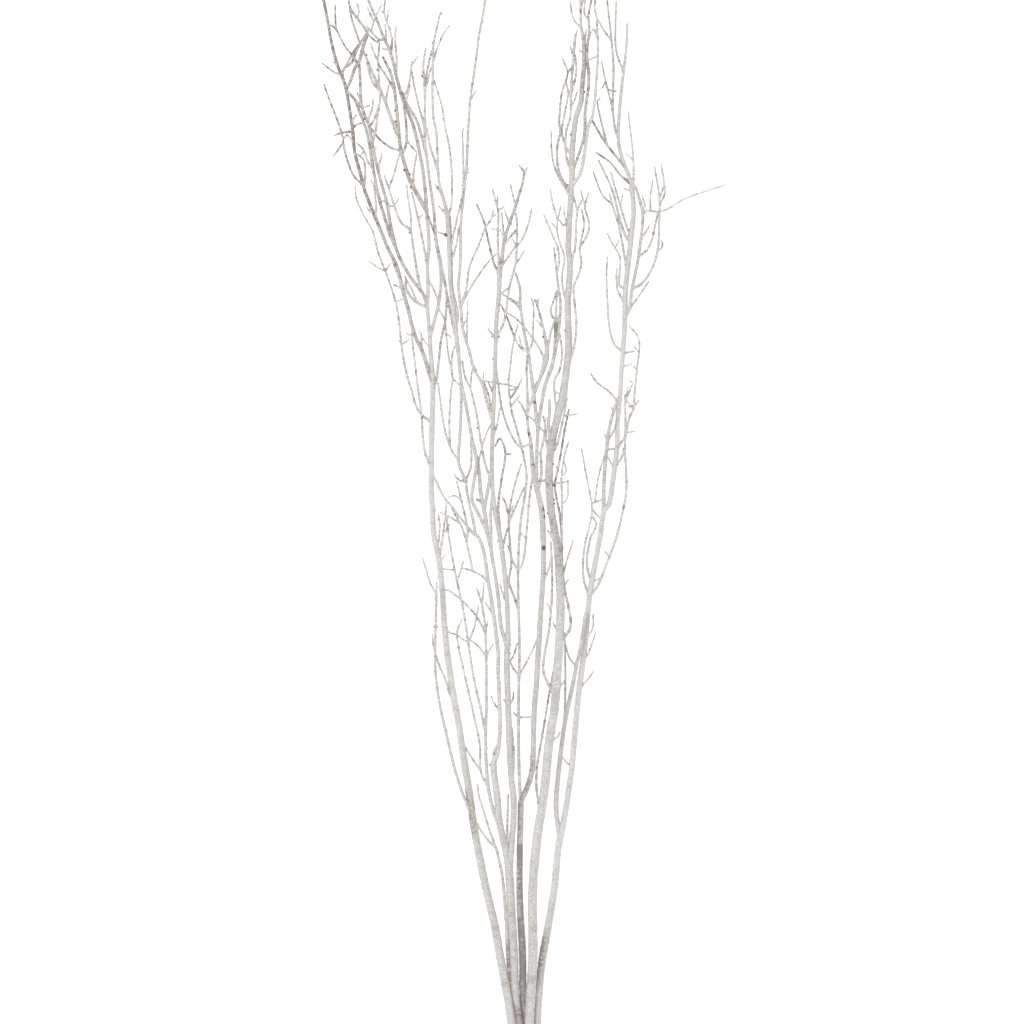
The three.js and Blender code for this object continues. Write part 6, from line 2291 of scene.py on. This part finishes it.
@dataclass(frozen=True)
class Tie:
    """Two-ply twine, wound side by side round the foot of all the stems and knotted on top.

    Attributes:
        node: The CAD node that it stands for.
        slot: The record's slot of its finish.
        strand: Half the width of a strand.
        squeeze: The share of the twine's width that it keeps under its pull.
        pitch: The distance between two turns.
        turn_points: The number of points of a turn.
        twist: The length in which the strands turn once round each other.
        lay: How far a strand's middle lies from the twine's, as a share of its half width.
        end: The share of a strand's width at its ends.
        step: The distance between a strand's rings.
        sides: A strand's sides.
        grain_shift: How far apart the patterns of the two strands are.
        aside: A direction that the twine never follows.
        curve_steps: The number of short pieces between two points of the twine's line.
        knot_y: The knot's place along the stems.
        knot_near: How much height a turn may lack for each millimetre that it is nearer to the knot.
        knot_size: The knot's size.
        knot_rise: How far the knot lies above the winding.
        knot_depth: How far its crossings lie above and below its middle.
        knot_gap: The angle at each end that is left open for the tails.
        knot_points: The number of lengths of its loop.
        left_tail: The tail that comes in at the left, from the knot's middle.
        right_tail: The tail that goes out at the right.
    """

    node: str = "tie"
    slot: Slot = Slot.TWINE
    strand: float = 0.52
    squeeze: float = 0.92
    pitch: float = 1.95
    turn_points: int = 40
    twist: float = 5.2
    lay: float = 0.84
    end: float = 0.7
    step: float = 1.1
    sides: int = 6
    grain_shift: float = 50.0
    aside: tuple[float, float, float] = (0.31, 0.9, 0.3)
    curve_steps: int = 6
    knot_y: float = 62.0
    knot_near: float = 0.05
    knot_size: float = 1.75
    knot_rise: float = 1.6
    knot_depth: float = 0.95
    knot_gap: float = 0.3
    knot_points: int = 40
    left_tail: Rows = ((-9.0, -27.0, -3.2), (-7.0, -20.0, -1.6), (-3.5, -11.5, -0.3))
    right_tail: Rows = ((3.0, -11.0, -0.2), (5.5, -17.0, -1.0), (6.0, -24.0, -2.6))

    def build(self, leaders: Sequence[Shoot], material: bpy.types.Material) -> bpy.types.Object:
        """Builds and dresses the tie.

        Args:
            leaders: The stems' leaders, round which it is wound.
            material: Its finish.

        Returns:
            The piece.
        """
        wood = Wood("twine_tie")
        winding = self.winding(leaders)
        top = max(winding, key=lambda point: point.z - self.knot_near * abs(point.y - self.knot_y))
        for path in (winding, self.knot(top)):
            self.add_twine(wood, path)
        return wood.finish(material)

    def winding(self, leaders: Sequence[Shoot]) -> list[Vector]:
        """Gives the line of the wound twine, from the first turn to the last.

        Args:
            leaders: The stems' leaders.

        Returns:
            The line's points.
        """
        gap = 2 * self.strand * self.squeeze
        turns = (TIE_END - TIE_START - 2 * gap) / self.pitch
        line = []
        for i in range(int(turns * self.turn_points) + 1):
            turn = 2 * math.pi * i / self.turn_points
            y = TIE_START + gap + self.pitch * i / self.turn_points
            out = Vector((math.cos(turn), 0.0, math.sin(turn)))
            spots = []
            for leader in leaders:
                ring = leader.level(y)
                middle = under_eye(leader.line[ring])
                spots.append(Vector((middle.x, y, middle.z)) + out * (leader.widths[ring] / 2 + gap))
            line.append(max(spots, key=lambda spot: spot.dot(out)))
        return line

    def knot(self, top: Vector) -> list[Vector]:
        """Gives the line of an overhand knot with two short tails.

        Args:
            top: The point of the winding that the knot sits over.

        Returns:
            The line's points.
        """
        middle = Vector((top.x, self.knot_y, top.z + self.knot_rise))
        loop = []
        for i in range(self.knot_points + 1):
            turn = math.pi + self.knot_gap + 2 * (math.pi - self.knot_gap) * i / self.knot_points
            x = self.knot_size * (math.sin(turn) + 2 * math.sin(2 * turn))
            y = self.knot_size * (math.cos(turn) - 2 * math.cos(2 * turn))
            loop.append(Vector((x, y, -self.knot_depth * math.sin(3 * turn))))
        left, right = (list(map(Vector, tail)) for tail in (self.left_tail, self.right_tail))
        return [middle + point for point in left + loop + right]

    def add_twine(self, wood: Wood, path: Sequence[Vector]) -> None:
        """Adds two strands that turn round each other along a line.

        Args:
            wood: The bmesh that collects the tie.
            path: The line.
        """
        curve = smooth_line(path, self.curve_steps)
        walked = lengths_of(curve)
        count = round(walked[-1] / self.step)
        middle = points_at(curve, walked, [walked[-1] * i / count for i in range(count + 1)])
        for phase in (0.0, math.pi):
            self.add_strand(wood, middle, phase)

    def add_strand(self, wood: Wood, middle: Sequence[Vector], phase: float) -> None:
        """Adds one strand.

        Args:
            wood: The bmesh that collects the tie.
            middle: The twine's middle line, at even steps.
            phase: Where the strand starts round it.
        """
        last = len(middle) - 1
        rings = []
        for i, point in enumerate(middle):
            along = (middle[min(i + 1, last)] - middle[max(i - 1, 0)]).normalized()
            side = along.cross(Vector(self.aside)).normalized()
            up = along.cross(side)
            turn = phase + 2 * math.pi * i * self.step / self.twist
            out = side * math.cos(turn) + up * math.sin(turn)
            rings.append((point + out * self.strand * self.lay, side, up))
        for vert in wood.rod_verts(self.sides, last):
            ring = round(vert.co.z * last)
            centre, side, up = rings[ring]
            edge = self.strand if ring not in (0, last) else self.strand * self.end
            x, y = vert.co.x * edge, vert.co.y * edge
            vert[wood.rod] = Vector((x, y, ring * self.step + phase * self.grain_shift)) * MM
            vert.co = to_frame(centre + side * x + up * y)
        wood.end_part()


@dataclass(frozen=True)
class Studio:
    """The pale floor, the soft light and the camera, in metres.

    Attributes:
        floor_reach: The floor's radius.
        floor_sides: The number of its sides.
        sky: The strength of the even white sky.
        lamp_size: The width of the one large lamp.
        lamp_energy: Its power.
        lamp_place: Its place, at the upper left.
        view_width: The width of what the camera sees at the eye's level, in millimetres.
        sensor_width: The width of the camera's sensor, in millimetres.
        clip_end: How far the camera sees.
    """

    floor_reach: float = 40.0
    floor_sides: int = 96
    sky: float = 0.68
    lamp_size: float = 5.0
    lamp_energy: float = 520.0
    lamp_place: tuple[float, float, float] = (-2.6, 2.2, 10.8)
    view_width: float = 1228.8
    sensor_width: float = 36.0
    clip_end: float = 100.0

    def build_floor(self) -> None:
        """Lays the floor."""
        bm = bmesh.new()
        bmesh.ops.create_circle(bm, cap_ends=True, segments=self.floor_sides, radius=self.floor_reach)
        mesh = bpy.data.meshes.new("floor")
        bm.to_mesh(mesh)
        bm.free()
        mesh.materials.append(FloorFinish("white_floor").material())
        floor = bpy.data.objects.new("floor", mesh)
        bpy.context.scene.collection.objects.link(floor)

    def build_light(self) -> None:
        """Lights the scene with the sky and the lamp, which points at the frame's origin."""
        world = bpy.data.worlds.new("soft_white")
        world.use_nodes = True
        sky = world.node_tree.nodes["Background"]
        sky.inputs["Color"].default_value = (1.0, 1.0, 1.0, 1.0)
        sky.inputs["Strength"].default_value = self.sky
        bpy.context.scene.world = world
        lamp = bpy.data.lights.new("soft_lamp", "AREA")
        lamp.shape = "DISK"
        lamp.size = self.lamp_size
        lamp.energy = self.lamp_energy
        light = bpy.data.objects.new("soft_lamp", lamp)
        light.location = self.lamp_place
        light.rotation_euler = (-light.location).to_track_quat("-Z", "Y").to_euler()
        bpy.context.scene.collection.objects.link(light)

    def build_camera(self) -> None:
        """Hangs the camera at the eye of the routes, looking straight down."""
        view = bpy.data.cameras.new("eye")
        view.sensor_width = self.sensor_width
        view.lens = self.sensor_width * (EYE_HEIGHT - EYE_LEVEL) / self.view_width
        view.clip_end = self.clip_end
        camera = bpy.data.objects.new("eye", view)
        camera.location = to_frame(Vector((EYE.x, EYE.y, EYE_HEIGHT)))
        bpy.context.scene.collection.objects.link(camera)
        bpy.context.scene.camera = camera
        bpy.context.scene.view_settings.view_transform = "Standard"


def place(piece: bpy.types.Object, node: str, slot: str) -> None:
    """Sets a piece in the frame in its node's place.

    Args:
        piece: The piece.
        node: The CAD node that it stands for.
        slot: The record's slot of its finish; not used.
    """
    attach(piece, "root")
    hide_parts(node)
    triangles = sum(len(face.vertices) - 2 for face in piece.data.polygons)
    log.info("%s stands for %s, %d triangles", piece.name, node, triangles)


def main() -> None:
    """Builds the bunch round the frame."""
    logging.basicConfig(level=logging.INFO, format="%(name)s: %(message)s")
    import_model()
    studio = Studio()
    studio.build_camera()
    studio.build_floor()
    studio.build_light()
    finishes = {
        Slot.PAINTED_BARK: BarkFinish("painted_bark").material(),
        # Painted shade: the middle stem, at the back of the bunch, gets a greyer and barer copy of the
        # bark.
        Slot.SHADED_BARK: BarkFinish("shaded_bark", bark=(0.25, 0.24, 0.225), wear=0.04).material(),
        Slot.TWINE: TwineFinish("twine").material(),
    }
    stems = [
        Stem("far_left", FAR_LEFT_STEM, FAR_LEFT_MARKS, 11),
        Stem("left", LEFT_STEM, LEFT_MARKS, 12),
        Stem("middle", MIDDLE_STEM, MIDDLE_MARKS, 13, Slot.SHADED_BARK),
        Stem("right", RIGHT_STEM, RIGHT_MARKS, 14),
        Stem("far_right", FAR_RIGHT_STEM, FAR_RIGHT_MARKS, 15),
    ]
    for stem in stems:
        place(stem.build(finishes[stem.slot]), stem.node, stem.slot.value)
    tie = Tie()
    leaders = [stem.leader for stem in stems]
    place(tie.build(leaders, finishes[tie.slot]), tie.node, tie.slot.value)


if __name__ == "__main__":
    main()
